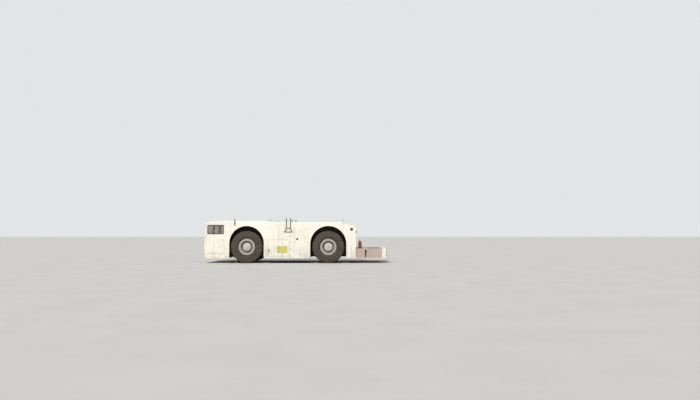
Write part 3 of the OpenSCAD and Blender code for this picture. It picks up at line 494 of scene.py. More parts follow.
def wheel_paint(name, centre, settings):
    """Wheel paint in rings: pale planetary hub, painted shade round the stud circle, dusty disc and pale
    flange.
    """
    f = Finish(name, 0.55)
    radius = f.radius_about(centre)
    f.coat(f.clouded(settings.hub_colour, 0.8, 0.35, 9, 5))
    f.coat(settings.disc_colour, f.between(radius, 0.21, 0.23), 0.92)
    # Painted shade: a darker ring round the stud circle, in the grease colour, stands for the shade in the
    # recess between the hub and the disc.
    f.coat(settings.grease_and_shade_colour, f.between(radius, 0.200, 0.212), f.between(radius, 0.292, 0.270), 0.4)
    f.coat(settings.hub_colour, f.between(radius, 0.392, 0.398), 0.9)
    streaks = f.patches(0.5, 0.72, 26, 6, 0.65)
    f.coat(settings.dust_colour, streaks, 0.55)
    f.roughness(streaks, 0, 1, 0.45, 0.85)
    f.bump(f.noise(70, 5), 0.25, 0.002)


def tyre_rubber(name, centre, settings):
    """Black rubber with brown dust, heavier towards the tread, and fine moulding rings on its sides."""
    f = Finish(name, 0.8)
    radius = f.radius_about(centre)
    f.coat(f.clouded(settings.tyre_colour, 0.72, 0.3, 3, 4))
    spatter = f.calculate("MAXIMUM", f.patches(0.42, 0.75, 11, 8, 0.7), f.patches(0.55, 0.7, 60, 6, 0.7))
    dust = f.times(spatter, f.between(radius, 0.45, 0.8, 0.4, 0.8))
    f.coat(settings.tyre_dust_colour, dust)
    f.roughness(dust, 0, 1, 0.7, 0.95)
    rings = f.calculate("SINE", f.calculate("MULTIPLY", radius, 900.0))
    side_only = f.between(radius, 0.74, 0.7)
    f.bump(f.mix(0.6, f.times(f.between(rings, -1, 1), side_only), f.noise(120, 4)), 0.3, 0.003)


def bare_steel(name, settings):
    """Worn steel with grease in patches and brushed lines along X."""
    f = Finish(name, 0.4, 0.85)
    f.coat(settings.steel_colour)
    f.coat(settings.grease_and_shade_colour, f.patches(0.4, 0.68, 6, 6))
    f.coat(settings.rust_colour, f.patches(0.6, 0.72, 18, 6, 0.7))
    f.roughness(f.noise(22, 5), 0.3, 0.7, 0.35, 0.75)
    f.bump(f.noise(1.0, 4, 0.5, f.stretched((12, 420, 420))), 0.2, 0.0015)


def moulded(name, shade, settings, roughness=0.55, grain=260, dust=0.35):
    """Moulded rubber or plastic with a fine grain and a film of dust."""
    f = Finish(name, roughness)
    f.coat(f.clouded(shade, 0.75, 0.3, 3, 3))
    film = f.times(f.patches(0.4, 0.75, 8, 6), dust)
    f.coat(settings.dust_colour, film)
    f.roughness(film, 0, 0.4, roughness, 0.9)
    f.bump(f.noise(grain, 3), 0.3, 0.001)


def clear_glass(name, tint):
    """Tinted safety glass that lets daylight in, with a faint film of dust."""
    f = Finish(name, 0.04, Alpha=0.34, IOR=2.2)
    film = f.patches(0.42, 0.8, 5, 7, 0.6)
    f.coat(tint)
    f.coat(srgb(168, 164, 152), film, 0.6)
    f.roughness(film, 0, 1, 0.03, 0.2)


def lens(name, shade, clearness):
    """Pressed lamp lens with ribs on its face."""
    f = Finish(name, 0.08, Transmission_Weight=clearness, IOR=1.49)
    f.coat(f.clouded(shade, 0.75, 0.4, 30, 4))
    ribs = f.add("ShaderNodeTexWave", {"Vector": f.place, "Scale": 21}, bands_direction="Y").outputs["Fac"]
    f.bump(ribs, 0.35, 0.002)


def reflector(name):
    """Silvered bowl behind a lens, slightly clouded."""
    f = Finish(name, 0.12, 1.0)
    f.coat((0.86, 0.86, 0.85))
    f.coat((0.6, 0.58, 0.54), f.patches(0.45, 0.75, 40, 4))
    f.bump(f.noise(60, 2), 0.1, 0.001)


def vinyl(name, settings):
    """Seat vinyl with a leather grain, rubbed paler in patches."""
    f = Finish(name, 0.5, Sheen_Weight=0.15)
    rub = f.patches(0.45, 0.75, 7, 5)
    f.coat(settings.vinyl_colour)
    f.coat([min(1, part * 2.2) for part in settings.vinyl_colour], rub, 0.5)
    f.roughness(rub, 0, 1, 0.42, 0.62)
    f.bump(f.mix(0.6, f.cells(320), f.noise(45, 4)), 0.35, 0.001)


def make_finishes(settings):
    """Makes every finish of the tractor, by name."""
    body_paint("body_paint", settings.body_colour, settings)
    deck_paint("deck_paint", settings)
    dusty_paint("chassis_paint", settings.chassis_colour, settings, 0.6, 0.25)
    dusty_paint("well_coating", settings.well_colour, settings, 0.85, 0.1, 40)
    dusty_paint("ladder_paint", settings.ladder_colour, settings, 0.55, 0.6)
    dusty_paint("extinguisher_paint", settings.extinguisher_colour, settings, 0.45, 0.3)
    dusty_paint("plate_paint", settings.plate_colour, settings, 0.5, 0.15)
    dusty_paint("engine_paint", srgb(92, 96, 98), settings)
    dusty_paint("louvre_paint", srgb(52, 53, 54), settings, 0.55, 0.15)
    bare_steel("bare_steel", settings)
    for axle_name, centre in AXLES:
        wheel_paint(f"wheel_paint_{axle_name}", centre, settings)
        tyre_rubber(f"tyre_rubber_{axle_name}", centre, settings)
    moulded("trim_plastic", srgb(48, 48, 50), settings)
    moulded("console_plastic", srgb(92, 92, 90), settings, 0.6, 240, 0.3)
    moulded("seal_rubber", srgb(26, 26, 27), settings, 0.7, 300, 0.25)
    moulded("floor_rubber", srgb(64, 62, 60), settings, 0.85, 150, 0.5)
    moulded("dial_face", srgb(16, 17, 18), settings, 0.3, 300, 0.05)
    moulded("marking_white", srgb(228, 226, 218), settings, 0.4, 300, 0.1)
    grit_paint("deck_grit", settings.grit_colour, settings)
    vinyl("seat_vinyl", settings)
    clear_glass("window_glass", settings.glass_colour)
    lens("lens_clear", (0.95, 0.95, 0.93), 0.92)
    lens("lens_red", srgb(196, 28, 24), 0.25)
    lens("lens_amber", srgb(232, 136, 24), 0.25)
    lens("lens_smoked", srgb(58, 53, 48), 0.3)
    reflector("silver_bowl")


# The CAD nodes of each finish, by the starts of their names, of which the first that fits counts
NODE_FINISHES = {
    "window_glass": ("cab_glass", "door_glass"),
    "body_paint": ("side_plates", "deck_plate", "tail_housing", "rear_bumper", "front_bumper", "cab_tub",
                   "cab_front", "cab_roof", "door", "hatch", "locker"),
    "chassis_paint": ("chassis_frame", "axle_housings", "knuckle", "tie_rod"),
    "bare_steel": ("tow_couplings", "piston_rod"),
    "well_coating": "wheel_wells",
    "louvre_paint": "tail_grille",
    "deck_paint": "ballast_deck",
    "engine_paint": "engine",
    "ladder_paint": "access_ladders",
    "seat_vinyl": "cab_seats",
    "console_plastic": "cab_controls",
    "lens_clear": "lamps",
    "extinguisher_paint": "fire_extinguisher",
    "wheel_paint_front": "rim_front",
    "wheel_paint_rear": "rim_rear",
    "tyre_rubber_front": "tyre_front",
    "tyre_rubber_rear": "tyre_rear",
}


def colour(name, *shown):
    """A colour setting, its default given as it shows on a screen."""
    return bpy.props.FloatVectorProperty(name=name, description=f"Linear colour of: {name.lower()}",
                                         subtype="COLOR", size=3, min=0, max=1, default=srgb(*shown))


def amount(name, description, default, low, high, **kind):
    """A setting of one number between two limits."""
    kind.update(name=name, description=description, default=default, min=low, max=high)
    return bpy.props.FloatProperty(**kind)


class FinishSettings(bpy.types.PropertyGroup):
    """Colours of the tractor's finishes, and how worn it is."""

    body_colour: colour("Body paint", 253, 250, 237)
    grime_colour: colour("Rain streaks and soot", 172, 170, 140)
    dust_colour: colour("Road dust", 158, 144, 124)
    rust_colour: colour("Rust in chips", 112, 68, 42)
    deck_colour: colour("Ballast deck", 196, 180, 167)
    deck_shade_colour: colour("Ballast deck by the tail wall", 190, 168, 157)
    chassis_colour: colour("Chassis paint", 48, 45, 42)
    well_colour: colour("Coating of the wheel wells", 150, 136, 118)
    steel_colour: colour("Bare steel", 148, 146, 142)
    # The grease colour also paints the shade round the wheel studs; on bare steel it is real grease.
    grease_and_shade_colour: colour("Grease, and painted shade round wheel studs", 62, 54, 46)
    hub_colour: colour("Hubs and flanges", 222, 216, 206)
    disc_colour: colour("Wheel discs", 170, 162, 151)
    tyre_colour: colour("Tyre rubber", 64, 56, 49)
    tyre_dust_colour: colour("Dust on the tyres", 120, 108, 94)
    ladder_colour: colour("Ladders and grab posts", 128, 126, 106)
    extinguisher_colour: colour("Fire extinguisher", 112, 60, 54)
    plate_colour: colour("Blank side plates", 226, 214, 112)
    glass_colour: colour("Window glass", 112, 106, 84)
    grit_colour: colour("Gritty standing areas", 150, 147, 138)
    vinyl_colour: colour("Seat vinyl", 46, 46, 50)
    grime: amount("Grime", "How much grime lies on the paint", 0.28, 0, 1, subtype="FACTOR")


class TyreSettings(bpy.types.PropertyGroup):
    """Pattern of the tyre tread."""

    lugs: bpy.props.IntProperty(name="Lugs", description="Lugs on each side of a tyre", default=26, min=12,
                                max=40)
    lug_share: amount("Lug share", "Share of the pitch that a lug covers", 0.62, 0.4, 0.8, subtype="FACTOR")
    groove_depth: amount("Groove depth", "Depth of the grooves between lugs", 0.03, 0.01, 0.05, unit="LENGTH")
    slant: amount("Slant", "Angle that a lug runs forward from shoulder to middle", math.radians(6), 0,
                  math.radians(12), subtype="ANGLE")


class SeatSettings(bpy.types.PropertyGroup):
    """How the seat cushions are blown up."""

    pressure: amount("Pressure", "Cloth pressure in the cushions", 4, 0, 10)
    swell: amount("Largest swell", "Farthest that the fabric may move out", 0.022, 0.002, 0.03, unit="LENGTH")
    voxel: amount("Mesh size", "Edge length of the cushion meshes", 0.006, 0.004, 0.02, unit="LENGTH")


class StageSettings(bpy.types.PropertyGroup):
    """Floor, light and camera."""

    floor_colour: colour("Floor", 212, 210, 205)
    key_strength: amount("Key light", "Strength of the soft sun", 2.0, 0, 10)
    sky_strength: amount("Sky light", "Strength of the light from all round", 0.6, 0, 3)
    eye_height: amount("Eye height", "Height of the camera over the floor", 1.5, 0.2, 5, unit="LENGTH")
    distance: amount("Distance", "Distance of the camera from the middle plane", 30.5, 10, 60, unit="LENGTH")
    station: amount("Station", "Place of the camera along the tractor", -2.72, -10, 10, unit="LENGTH")
    tilt: amount("Tilt", "How far the camera looks up", math.radians(3.25), 0, math.radians(20),
                 subtype="ANGLE")
    lens: amount("Focal length", "Focal length of the camera in millimetres", 29.9, 10, 200, unit="CAMERA")


# Operators, one for each piece or group of like pieces


class TRACTOR_OT_finishes(bpy.types.Operator):
    """Make the finishes and give each CAD node its own"""

    bl_idname = "tractor.finishes"
    bl_label = "Finishes"

    def execute(self, context):
        make_finishes(context.scene.tractor_finish)
        for node, obj in frame["nodes"].items():
            name = next(name for name, starts in NODE_FINISHES.items() if node.startswith(starts))
            obj.data.materials.clear()
            obj.data.materials.append(FINISHES[name])
        return {"FINISHED"}


def tread_lug(settings, centre):
    """One lug of the left half of the tread, from the middle over the shoulder, slanting forward."""
    crown = TYRE_RADIUS
    floor = crown - settings.groove_depth - 0.004
    outline = [(0.012, floor), (0.012, crown - 0.001), (0.100, crown), (0.188, crown - 0.005),
               (0.221, crown - 0.032), (0.238, crown - 0.074), (0.2455, crown - 0.140),
               (0.236, crown - 0.150), (0.222, crown - 0.085), (0.186, floor)]
    lug = drawn([(centre.x, centre.y + y, centre.z + radius) for y, radius in outline])
    bpy.ops.mesh.edge_face_add()
    bpy.ops.mesh.select_all(action="SELECT")
    width = 2 * math.pi / settings.lugs * settings.lug_share
    bpy.ops.mesh.spin(steps=3, angle=width, center=centre, axis=Y)
    bpy.ops.mesh.select_all(action="SELECT")
    bpy.ops.mesh.normals_make_consistent(inside=False)
    reaches = (0.23, 0.205, 0.15, 0.06)
    for reach in reaches:
        pick("verts", lambda vertex: vertex.co.y - centre.y < reach)
        bpy.ops.transform.rotate(value=settings.slant / len(reaches), orient_axis="Y", center_override=centre)
    leave()
    return round_sharp(lug, 0.005, 1, 40)


def tyre(settings, centre):
    """A whole tyre on the left side: carcass with ringed side walls, and two rows of lugs."""
    floor = TYRE_RADIUS - settings.groove_depth
    half = TYRE_HALF
    wall = [(0.165, 0.319), (0.166, 0.407), (0.186, 0.412), (0.206, 0.426), (0.2235, 0.452),
            (0.2275, 0.456), (0.2300, 0.452), (0.2405, 0.484), (0.2445, 0.506), (0.2475, 0.510),
            (0.2455, 0.516), (half, 0.560), (half, 0.604), (0.2450, 0.612), (0.2455, 0.640),
            (0.2485, 0.646), (0.2435, 0.655), (0.2365, 0.700), (0.214, 0.752), (0.186, floor),
            (0.09, floor + 0.001)]
    other_wall = [(-place, radius) for place, radius in reversed(wall)]
    carcass = turned(wall + other_wall, centre, Y, 96, closed=True)
    lug = tread_lug(settings, centre)
    opposite = copy_of(lug, half_turn_about=centre)
    tilt(opposite, math.pi / settings.lugs, centre)
    rows = [ring_of(model, settings.lugs, centre, Y) for model in (lug, opposite)]
    return smooth(join(carcass, *rows), 40)


def on_each_wheel(piece, name, finish_name, replaced=None):
    """Copies a piece of the front left wheel to all four wheels, and removes the model."""
    pivot = Vector((FIRST_WHEEL.x, 0, FIRST_WHEEL.z))
    for wheel, centre, side in WHEELS:
        shift = (centre.x - FIRST_WHEEL.x, 0, 0)
        copy = copy_of(piece, f"{name}_{wheel}", shift, pivot if side < 0 else None)
        by_axle = f"{finish_name}_{wheel.split('_')[0]}"
        finish(copy, by_axle if by_axle in FINISHES else finish_name, f"wheel_{wheel}")
        if replaced:
            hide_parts(f"{replaced}_{wheel}")
    bpy.data.objects.remove(piece)


class TRACTOR_OT_tyres(bpy.types.Operator):
    """Model one tyre with its tread and put it on all four wheels"""

    bl_idname = "tractor.tyres"
    bl_label = "Tyres"

    def execute(self, context):
        model = tyre(context.scene.tractor_tyre, FIRST_WHEEL)
        on_each_wheel(model, "tread_tyre", "tyre_rubber", "tyre")
        return {"FINISHED"}


class TRACTOR_OT_wheel_fittings(bpy.types.Operator):
    """Model the studs, hub bolts, lock ring and valve of one wheel and put them on all four"""

    bl_idname = "tractor.wheel_fittings"
    bl_label = "Wheel fittings"

    def execute(self, context):
        hub = FIRST_WHEEL

        def at(radius, angle, out):
            """A point by its distance from the axis, its angle from the top, and how far out it lies."""
            return hub + Vector((radius * math.sin(angle), out, radius * math.cos(angle)))

        stud_circle, stud_angle = 0.2535, math.radians(18)
        disc_face, hub_face, cap_face = 0.047, 0.1385, 0.2245
        stud = hex_bolt(at(stud_circle, stud_angle, disc_face), Y, 0.034, 0.026)
        tip = rod(at(stud_circle, stud_angle, 0.07), at(stud_circle, stud_angle, 0.086), 0.010, 12)
        studs = ring_of(join(stud, tip), 10, hub, Y)
        hub_bolts = ring_of(hex_bolt(at(0.193, 0.1, hub_face), Y, 0.018, 0.012), 16, hub, Y)
        cover_bolts = ring_of(hex_bolt(at(0.106, 0, cap_face), Y, 0.018, 0.012), 10, hub, Y)
        plug = hex_bolt(at(0, 0, cap_face), Y, 0.05, 0.02)
        valve = rod(at(0.302, 0.3, 0.075), at(0.33, 0.3, 0.125), 0.007, 12)
        fasteners = smooth(join(studs, hub_bolts, cover_bolts, plug, valve))
        on_each_wheel(fasteners, "wheel_fasteners", "bare_steel")
        lock_ring = turned([(0.1985, 0.399), (0.2035, 0.399), (0.2055, 0.392), (0.2035, 0.385),
                            (0.1985, 0.385), (0.1955, 0.392)], hub, Y, 96, closed=True)
        hub_cap = turned([(0.2235, 0.0), (0.2235, 0.074), (0.229, 0.074), (0.2315, 0.066), (0.2315, 0.028),
                          (0.227, 0.024), (0.227, 0.0)], hub, Y)
        on_each_wheel(smooth(join(lock_ring, hub_cap)), "wheel_rings", "wheel_paint")
        return {"FINISHED"}


class TRACTOR_OT_headlamps(bpy.types.Operator):
    """Model one headlamp, its bowl, bulb, lens and bezel, and set four in the front bumper"""

    bl_idname = "tractor.headlamps"
    bl_label = "Headlamps"

    def execute(self, context):
        first = HEADLAMPS[0]
        bowl = turned([(-0.064, 0.0), (-0.063, 0.018), (-0.052, 0.044), (-0.034, 0.064), (-0.012, 0.077),
                       (-0.012, 0.080), (-0.036, 0.068), (-0.056, 0.048), (-0.068, 0.020), (-0.068, 0.0)],
                      first, X)
        glass = turned([(-0.0015, 0.0), (-0.003, 0.03), (-0.0065, 0.055), (-0.0115, 0.079), (-0.0145, 0.079),
                        (-0.0095, 0.055), (-0.006, 0.03), (-0.0045, 0.0)], first, X)
        bezel = turned([(-0.012, 0.0775), (0.003, 0.0775), (0.006, 0.081), (0.006, 0.094), (0.0035, 0.098),
                        (0.0002, 0.098), (0.0002, 0.0846), (-0.012, 0.0846)], first, X, closed=True)
        bulb = rod((-0.062, 0, 0), (-0.03, 0, 0), 0.008, 16, 0.004, at=first)
        screw = hex_bolt(first + Vector((0.0055, 0, 0.0895)), X, 0.008, 0.004)
        bezel = join(smooth(bezel), ring_of(screw, 4, first, X))
        for model, name, finish_name in ((smooth(bowl), "headlamp_bowls", "silver_bowl"),
                                         (smooth(glass), "headlamp_lenses", "lens_clear"),
                                         (bezel, "headlamp_bezels", "bare_steel"),
                                         (bulb, "headlamp_bulbs", "lens_clear")):
            pair = [copy_of(model, name, centre - first) for centre in HEADLAMPS]
            bpy.data.objects.remove(model)
            fit(name, pair, finish_name, both_sides=True, as_shaded=True)
        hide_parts("lamps")
        return {"FINISHED"}


class TRACTOR_OT_tail_lamps(bpy.types.Operator):
    """Model the tail lamp clusters and the round lamps in the tail's sides"""

    bl_idname = "tractor.tail_lamps"
    bl_label = "Tail and side lamps"

    def execute(self, context):
        depth, width, height, rim = 0.04, 0.22, 0.12, 0.007
        low_y, low_z = SIDE - 0.36, 1.5
        case = slab((TAIL - depth + 0.014, low_y, low_z), (TAIL, low_y + width, low_z + height), 0.006, 3)
        sink(case, lambda face: face.normal.x < -0.99, 0.006, (0.006, 0, 0))
        fit("tail_lamp_cases", [case], "trim_plastic", both_sides=True)
        span = (width - 2 * rim) / 3
        for place, name, finish_name in ((2, "stop", "lens_red"), (1, "turn", "lens_amber"),
                                         (0, "reverse", "lens_clear")):
            y = low_y + rim + span * place
            cover = slab((TAIL - depth, y + 0.001, low_z + rim),
                         (TAIL - depth + 0.024, y + span - 0.001, low_z + height - rim), 0.007, 3)
            fit(f"{name}_lenses", [cover], finish_name, both_sides=True)
        dome = turned([(0.006, 0.0), (0.005, 0.02), (0.001, 0.042), (-0.005, 0.056), (-0.026, 0.056),
                       (-0.026, 0.0)], SIDE_LAMP, Y)
        fit("side_lamp_lenses", [dome], "lens_smoked", both_sides=True)
        collar = turned([(-0.029, 0.0565), (0.002, 0.0565), (0.005, 0.060), (0.005, 0.070), (0.003, 0.073),
                         (0.0002, 0.073), (0.0002, 0.0645), (-0.029, 0.0645)], SIDE_LAMP, Y, closed=True)
        fit("side_lamp_collars", [collar], "seal_rubber", both_sides=True)
        return {"FINISHED"}


def seal_round(low, high, corner, width, axis=1):
    """A flat rubber seal inside the edge of a box that is open along an axis, with rounded corners."""
    low, high = Vector(low), Vector(high)
    seal = block(low, high)
    edit(seal, "EDGE")
    pick("edges", lambda edge: abs((edge.verts[0].co - edge.verts[1].co).normalized()[axis]) > 0.99)
    bpy.ops.mesh.bevel(offset=corner, segments=6, affect="EDGES")
    bpy.ops.mesh.select_mode(type="FACE")
    pick("faces", lambda face: abs(face.normal[axis]) > 0.99)
    bpy.ops.mesh.inset(thickness=width)
    bpy.ops.mesh.bridge_edge_loops()
    bpy.ops.mesh.select_all(action="SELECT")
    bpy.ops.mesh.normals_make_consistent(inside=False)
    leave()
    return round_sharp(seal, (high - low)[axis] * 0.3, 2, 50)


class TRACTOR_OT_window_trim(bpy.types.Operator):
    """Model the rubber seals of the windows and doorways, the windscreen's post and its wipers"""

    bl_idname = "tractor.window_trim"
    bl_label = "Window seals and wipers"

    def execute(self, context):
        half, grow = 0.004, 0.012
        for side_name, side in SIDES:
            y = side * (SIDE - 0.0645)
            door_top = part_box(f"door_{side_name}")[1].z
            seal = seal_round((CAB_REAR + 0.065, y - half, FLOOR + 0.001),
                              (DOOR_FRONT + 0.005, y + half, door_top + 0.005), 0.03, 0.036)
            fit(f"doorway_seal_{side_name}", [seal], "seal_rubber")
            low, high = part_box(f"door_glass_{side_name}")
            for face_name, y in (("outer", side * (SIDE + 0.001)), ("inner", side * (SIDE - 0.046))):
                seal = seal_round((low.x - grow, y - half, low.z - grow),
                                  (high.x + grow, y + half, high.z + grow), 0.05, 0.026)
                fit(f"door_seal_{face_name}_{side_name}", [seal], "seal_rubber", body=f"cab_door_{side_name}")
        low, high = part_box("cab_glass")

        def on_glass(y, z, out):
            """A point over the outer face of the leaning windscreen."""
            return Vector((high.x + SCREEN_SLOPE * (z - low.z) + out, y, z))

        z = low.z - 0.026
        for number, y in enumerate((-0.95, 0.35), 1):
            foot = Vector((NOSE - 0.003, y, z))
            boss = rod((-0.03, 0, 0), (0.022, 0, 0), 0.019, width=0.004, at=foot)
            knuckle = slab((0.006, -0.014, -0.012), (0.026, 0.075, 0.020), 0.005, at=foot)
            arm = rod(foot + Vector((0.017, 0.03, 0.006)), on_glass(y + 0.44, z + 0.085, 0.016),
                      0.008, 12, 0.002, 0.005)
            yoke = rod(on_glass(y + 0.20, z + 0.080, 0.014), on_glass(y + 0.68, z + 0.092, 0.014), 0.005, 10)
            blade = rod(on_glass(y + 0.10, z + 0.078, 0.006), on_glass(y + 0.78, z + 0.095, 0.006), 0.006, 10)
            fit(f"wiper_{number}", [boss, knuckle, arm, yoke, blade], "seal_rubber")
        edge = 0.003
        rise = (high.z - low.z + 2 * edge) * math.hypot(1, SCREEN_SLOPE)
        seal = seal_round((high.x - 0.002, low.y - edge, low.z - edge),
                          (high.x + 0.011, high.y + edge, low.z - edge + rise), 0.042, 0.03, 0)
        tilt(seal, math.atan(-SCREEN_SLOPE), (high.x, 0, low.z))
        fit("windscreen_seal", [seal], "seal_rubber")
        post = slab((high.x - 0.105, -0.03, low.z - 0.004), (high.x - 0.014, 0.03, high.z + 0.004), 0.006, 3)
        edit(post)
        pick("verts", lambda vertex: vertex.co.z > (low.z + high.z) / 2)
        bpy.ops.transform.translate(value=(SCREEN_SLOPE * (high.z - low.z), 0, 0))
        leave()
        fit("windscreen_post", [post], "seal_rubber")
        return {"FINISHED"}


class TRACTOR_OT_side_fittings(bpy.types.Operator):
    """Model the blank side plates, the grips of the lockers and the filler caps"""

    bl_idname = "tractor.side_fittings"
    bl_label = "Side fittings"

    def execute(self, context):
        x0, z0, x1, z1, inset = 0.40, 0.51, 0.905, 0.85, 0.015
        for side_name, side in SIDES:
            door = f"locker_door_{side_name}"
            plate = slab((x0, side * (SIDE - 0.001), z0), (x1, side * (SIDE + 0.004), z1), 0.002)
            sink(plate, lambda face: face.normal.y * side > 0.9 and face.calc_center_median().y * side > SIDE,
                 0.014, (0, -0.0015 * side, 0))
            fit(f"side_plate_{side_name}", [plate], "plate_paint", door, as_shaded=True)
            rivets = [rod((x, side * (SIDE + 0.002), z), (x, side * (SIDE + 0.0075), z), 0.007, 12, 0.003)
                      for x in (x0 + inset, x1 - inset) for z in (z0 + inset, z1 - inset)]
            fit(f"plate_rivets_{side_name}", rivets, "bare_steel", door)
            grip = slab((1.302, side * (SIDE + 0.012), 0.575), (1.338, side * (SIDE + 0.0265), 0.705),
                        0.006, 3)
            fit(f"locker_grips_{side_name}", [grip], "seal_rubber", door)
        cap = turned([(-0.001, 0.0), (-0.001, 0.052), (0.004, 0.052), (0.006, 0.046), (0.006, 0.040),
                      (0.012, 0.038), (0.016, 0.030), (0.016, 0.0)], FILLER_CAP, Y, 40)
        grip = slab((-0.028, 0.014, -0.007), (0.028, 0.026, 0.007), 0.004, at=FILLER_CAP)
        fit("filler_caps", [cap, grip], "trim_plastic", both_sides=True)
        return {"FINISHED"}


class TRACTOR_OT_deck_fittings(bpy.types.Operator):
    """Model the tread mats, bolts and hatch handles on the decks"""

    bl_idname = "tractor.deck_fittings"
    bl_label = "Deck fittings"

    def execute(self, context):
        def mats(name, *places):
            """Gritty areas on both sides, each by its ends in X, its edges in Y and its height."""
            parts = [slab((x0, y0, z), (x1, y1, z + 0.004), 0.0015) for x0, x1, y0, y1, z in places]
            fit(name, parts, "deck_grit", both_sides=True, as_shaded=True)

        def bolts(start, outward, count, step):
            return row(hex_bolt(start, outward, 0.022, 0.01), count, step)

        hatch_low, hatch_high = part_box("hatch_left")
        edge_y = 1.425
        mats("deck_mats", (hatch_high.x + 0.12, 1.28, 0.06, 0.62, DECK),
             (RAISED_START, RAISED_END, 0.06, 0.62, RAISED_DECK), (hatch_low.x, 1.28, 0.86, 1.2, DECK),
             (RAISED_START, RAISED_END, 0.86, 1.2, RAISED_DECK))
        mats("ballast_mats", (TAIL - 0.42, TAIL - 0.08, 0.30, 1.05, BALLAST_TOP),
             (END + 0.32, TAIL - 0.62, 0.12, 1.25, BALLAST_TOP))
        rows = [bolts((-2.26, edge_y, DECK), Z, 18, (BOLT_PITCH, 0, 0)),
                bolts((RAISED_START + 0.02, edge_y, RAISED_DECK), Z, 9, (BOLT_PITCH, 0, 0)),
                bolts((TAIL, 0.3, 1.75), (-1, 0, 0), 6, (0, BOLT_PITCH, 0))]
        fit("deck_bolts", rows, "bare_steel", both_sides=True, as_shaded=True)
        ring = [(0, 0.0245), (0.007, 0.0245), (0.008, 0.0265), (0.008, 0.038), (0.006, 0.041), (0, 0.041)]
        collars = [turned(ring, Vector((x, y, EYE_HEIGHT)), Y, 40, way, closed=True)
                   for x in EYE_STATIONS for y, way in EYE_FACES]
        fit("lifting_eye_collars", collars, "bare_steel", both_sides=True)
        grip_y, grip_z = 0.09, DECK + 0.03
        for side_name, side in SIDES:
            y = side * grip_y
            grips = []
            for x in (hatch_low.x + 0.045, hatch_high.x - 0.045):
                grips += [rod((x + dx, y, DECK - 0.001), (x + dx, y, grip_z), 0.006) for dx in (-0.02, 0.02)]
                grips.append(rod((x - 0.026, y, grip_z), (x + 0.026, y, grip_z), 0.006))
            fit(f"hatch_grips_{side_name}", grips, "bare_steel", f"engine_hatch_{side_name}")
        return {"FINISHED"}


class TRACTOR_OT_axle_fittings(bpy.types.Operator):
    """Model the kingpin caps on the knuckles, and the covers and plugs of the axle bowls"""

    bl_idname = "tractor.axle_fittings"
    bl_label = "Axle fittings"

    def execute(self, context):
        for wheel, centre, side in WHEELS:
            top = Vector((centre.x, side * KINGPIN_Y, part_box(f"knuckle_{wheel}")[1].z))
            cap = rod((0, 0, 0), (0, 0, 0.014), 0.072, 40, 0.004, at=top)
            bolt = hex_bolt(top + Vector((0.055, 0, 0.0135)), Z, 0.018, 0.01)
            nipple = rod((0, 0, 0.013), (0, 0, 0.032), 0.006, 12, at=top)
            fit(f"kingpin_caps_{wheel}", [cap, ring_of(bolt, 6, top, Z), nipple], "bare_steel",
                f"knuckle_{wheel}")
        for (axle_name, centre), fore in zip(AXLES, (1, -1)):
            face = Vector((centre.x + fore * 0.20, 0, centre.z))
            cover = turned([(-0.02, 0.152), (0.016, 0.152), (0.022, 0.146), (0.022, 0.12), (0.045, 0.10),
                            (0.058, 0.055), (0.06, 0.0)], face, X, way=fore)
            bolt = hex_bolt(face + Vector((fore * 0.0215, 0, 0.134)), (fore, 0, 0), 0.02, 0.012)
            plug = hex_bolt((centre.x, 0, centre.z - 0.2485), (0, 0, -1), 0.034, 0.016)
            parts = [cover, ring_of(bolt, 14, face, X), plug]
            fit(f"axle_cover_{axle_name}", parts, "chassis_paint")
        return {"FINISHED"}


class TRACTOR_OT_extinguisher(bpy.types.Operator):
    """Model the valve, lever, gauge and strap of the fire extinguisher"""

    bl_idname = "tractor.extinguisher"
    bl_label = "Extinguisher fittings"

    def execute(self, context):
        low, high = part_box("fire_extinguisher")
        foot = Vector((low.x + 0.084, (low.y + high.y) / 2, low.z))
        top = Vector((foot.x, foot.y, high.z))
        neck = rod((0, 0, -0.075), (0, 0, -0.018), 0.024, at=top)
        lever = slab((-0.03, -0.012, -0.004), (0.082, 0.012, 0.004), 0.002, at=top)
        gauge = rod((0, 0.018, -0.04), (0, 0.034, -0.04), 0.017, at=top)
        pin = rod((-0.012, -0.03, -0.012), (-0.012, 0.03, -0.012), 0.003, 10, 0.001, at=top)
        fit("extinguisher_valve", [neck, lever, gauge, pin], "trim_plastic")
        strap = turned([(0.10, 0.0845), (0.10, 0.0875), (0.13, 0.0875), (0.13, 0.0845)],
                       foot, Z, 64, closed=True)
        foot_ring = turned([(0.0, 0.0845), (0.0, 0.092), (0.012, 0.092), (0.016, 0.087), (0.016, 0.0845)],
                           foot, Z, 64, closed=True)
        fit("extinguisher_strap", [strap, foot_ring], "seal_rubber")
        return {"FINISHED"}


def blown_pad(low, high, round_off, settings, channels=()):
    """A cushion from a rounded box, blown up as cloth, with sewn channels pressed in at places along axes."""
    pad = slab(low, high, round_off, 3)
    take(pad)
    pad.data.remesh_voxel_size = settings.voxel
    bpy.ops.object.voxel_remesh()
    start = [vertex.co.copy() for vertex in pad.data.vertices]
    steps = 20
    bpy.ops.object.modifier_add(type="CLOTH")
    cloth = pad.modifiers[-1]
    cloth.settings.use_pressure = True
    cloth.settings.uniform_pressure_force = settings.pressure
    cloth.settings.effector_weights.gravity = 0
    cloth.settings.quality = 5
    cloth.point_cache.frame_end = steps
    for step in range(1, steps + 1):
        bpy.context.scene.frame_set(step)
    bpy.ops.object.modifier_apply(modifier=cloth.name)
    bpy.context.scene.frame_set(1)
    for vertex, at in zip(pad.data.vertices, start):
        move = vertex.co - at
        if move.length > settings.swell:
            vertex.co = at + move.normalized() * settings.swell
    middle = (Vector(low) + Vector(high)) / 2
    channel_width, channel_depth = 0.010, 0.010
    for axis, place in channels:
        for vertex in pad.data.vertices:
            near = math.exp(-(((vertex.co[axis] - place) / channel_width) ** 2))
            vertex.co -= (vertex.co - middle).normalized() * channel_depth * near
    modify(pad, "SUBSURF", levels=1, render_levels=1)
    bpy.ops.object.shade_smooth()
    return pad


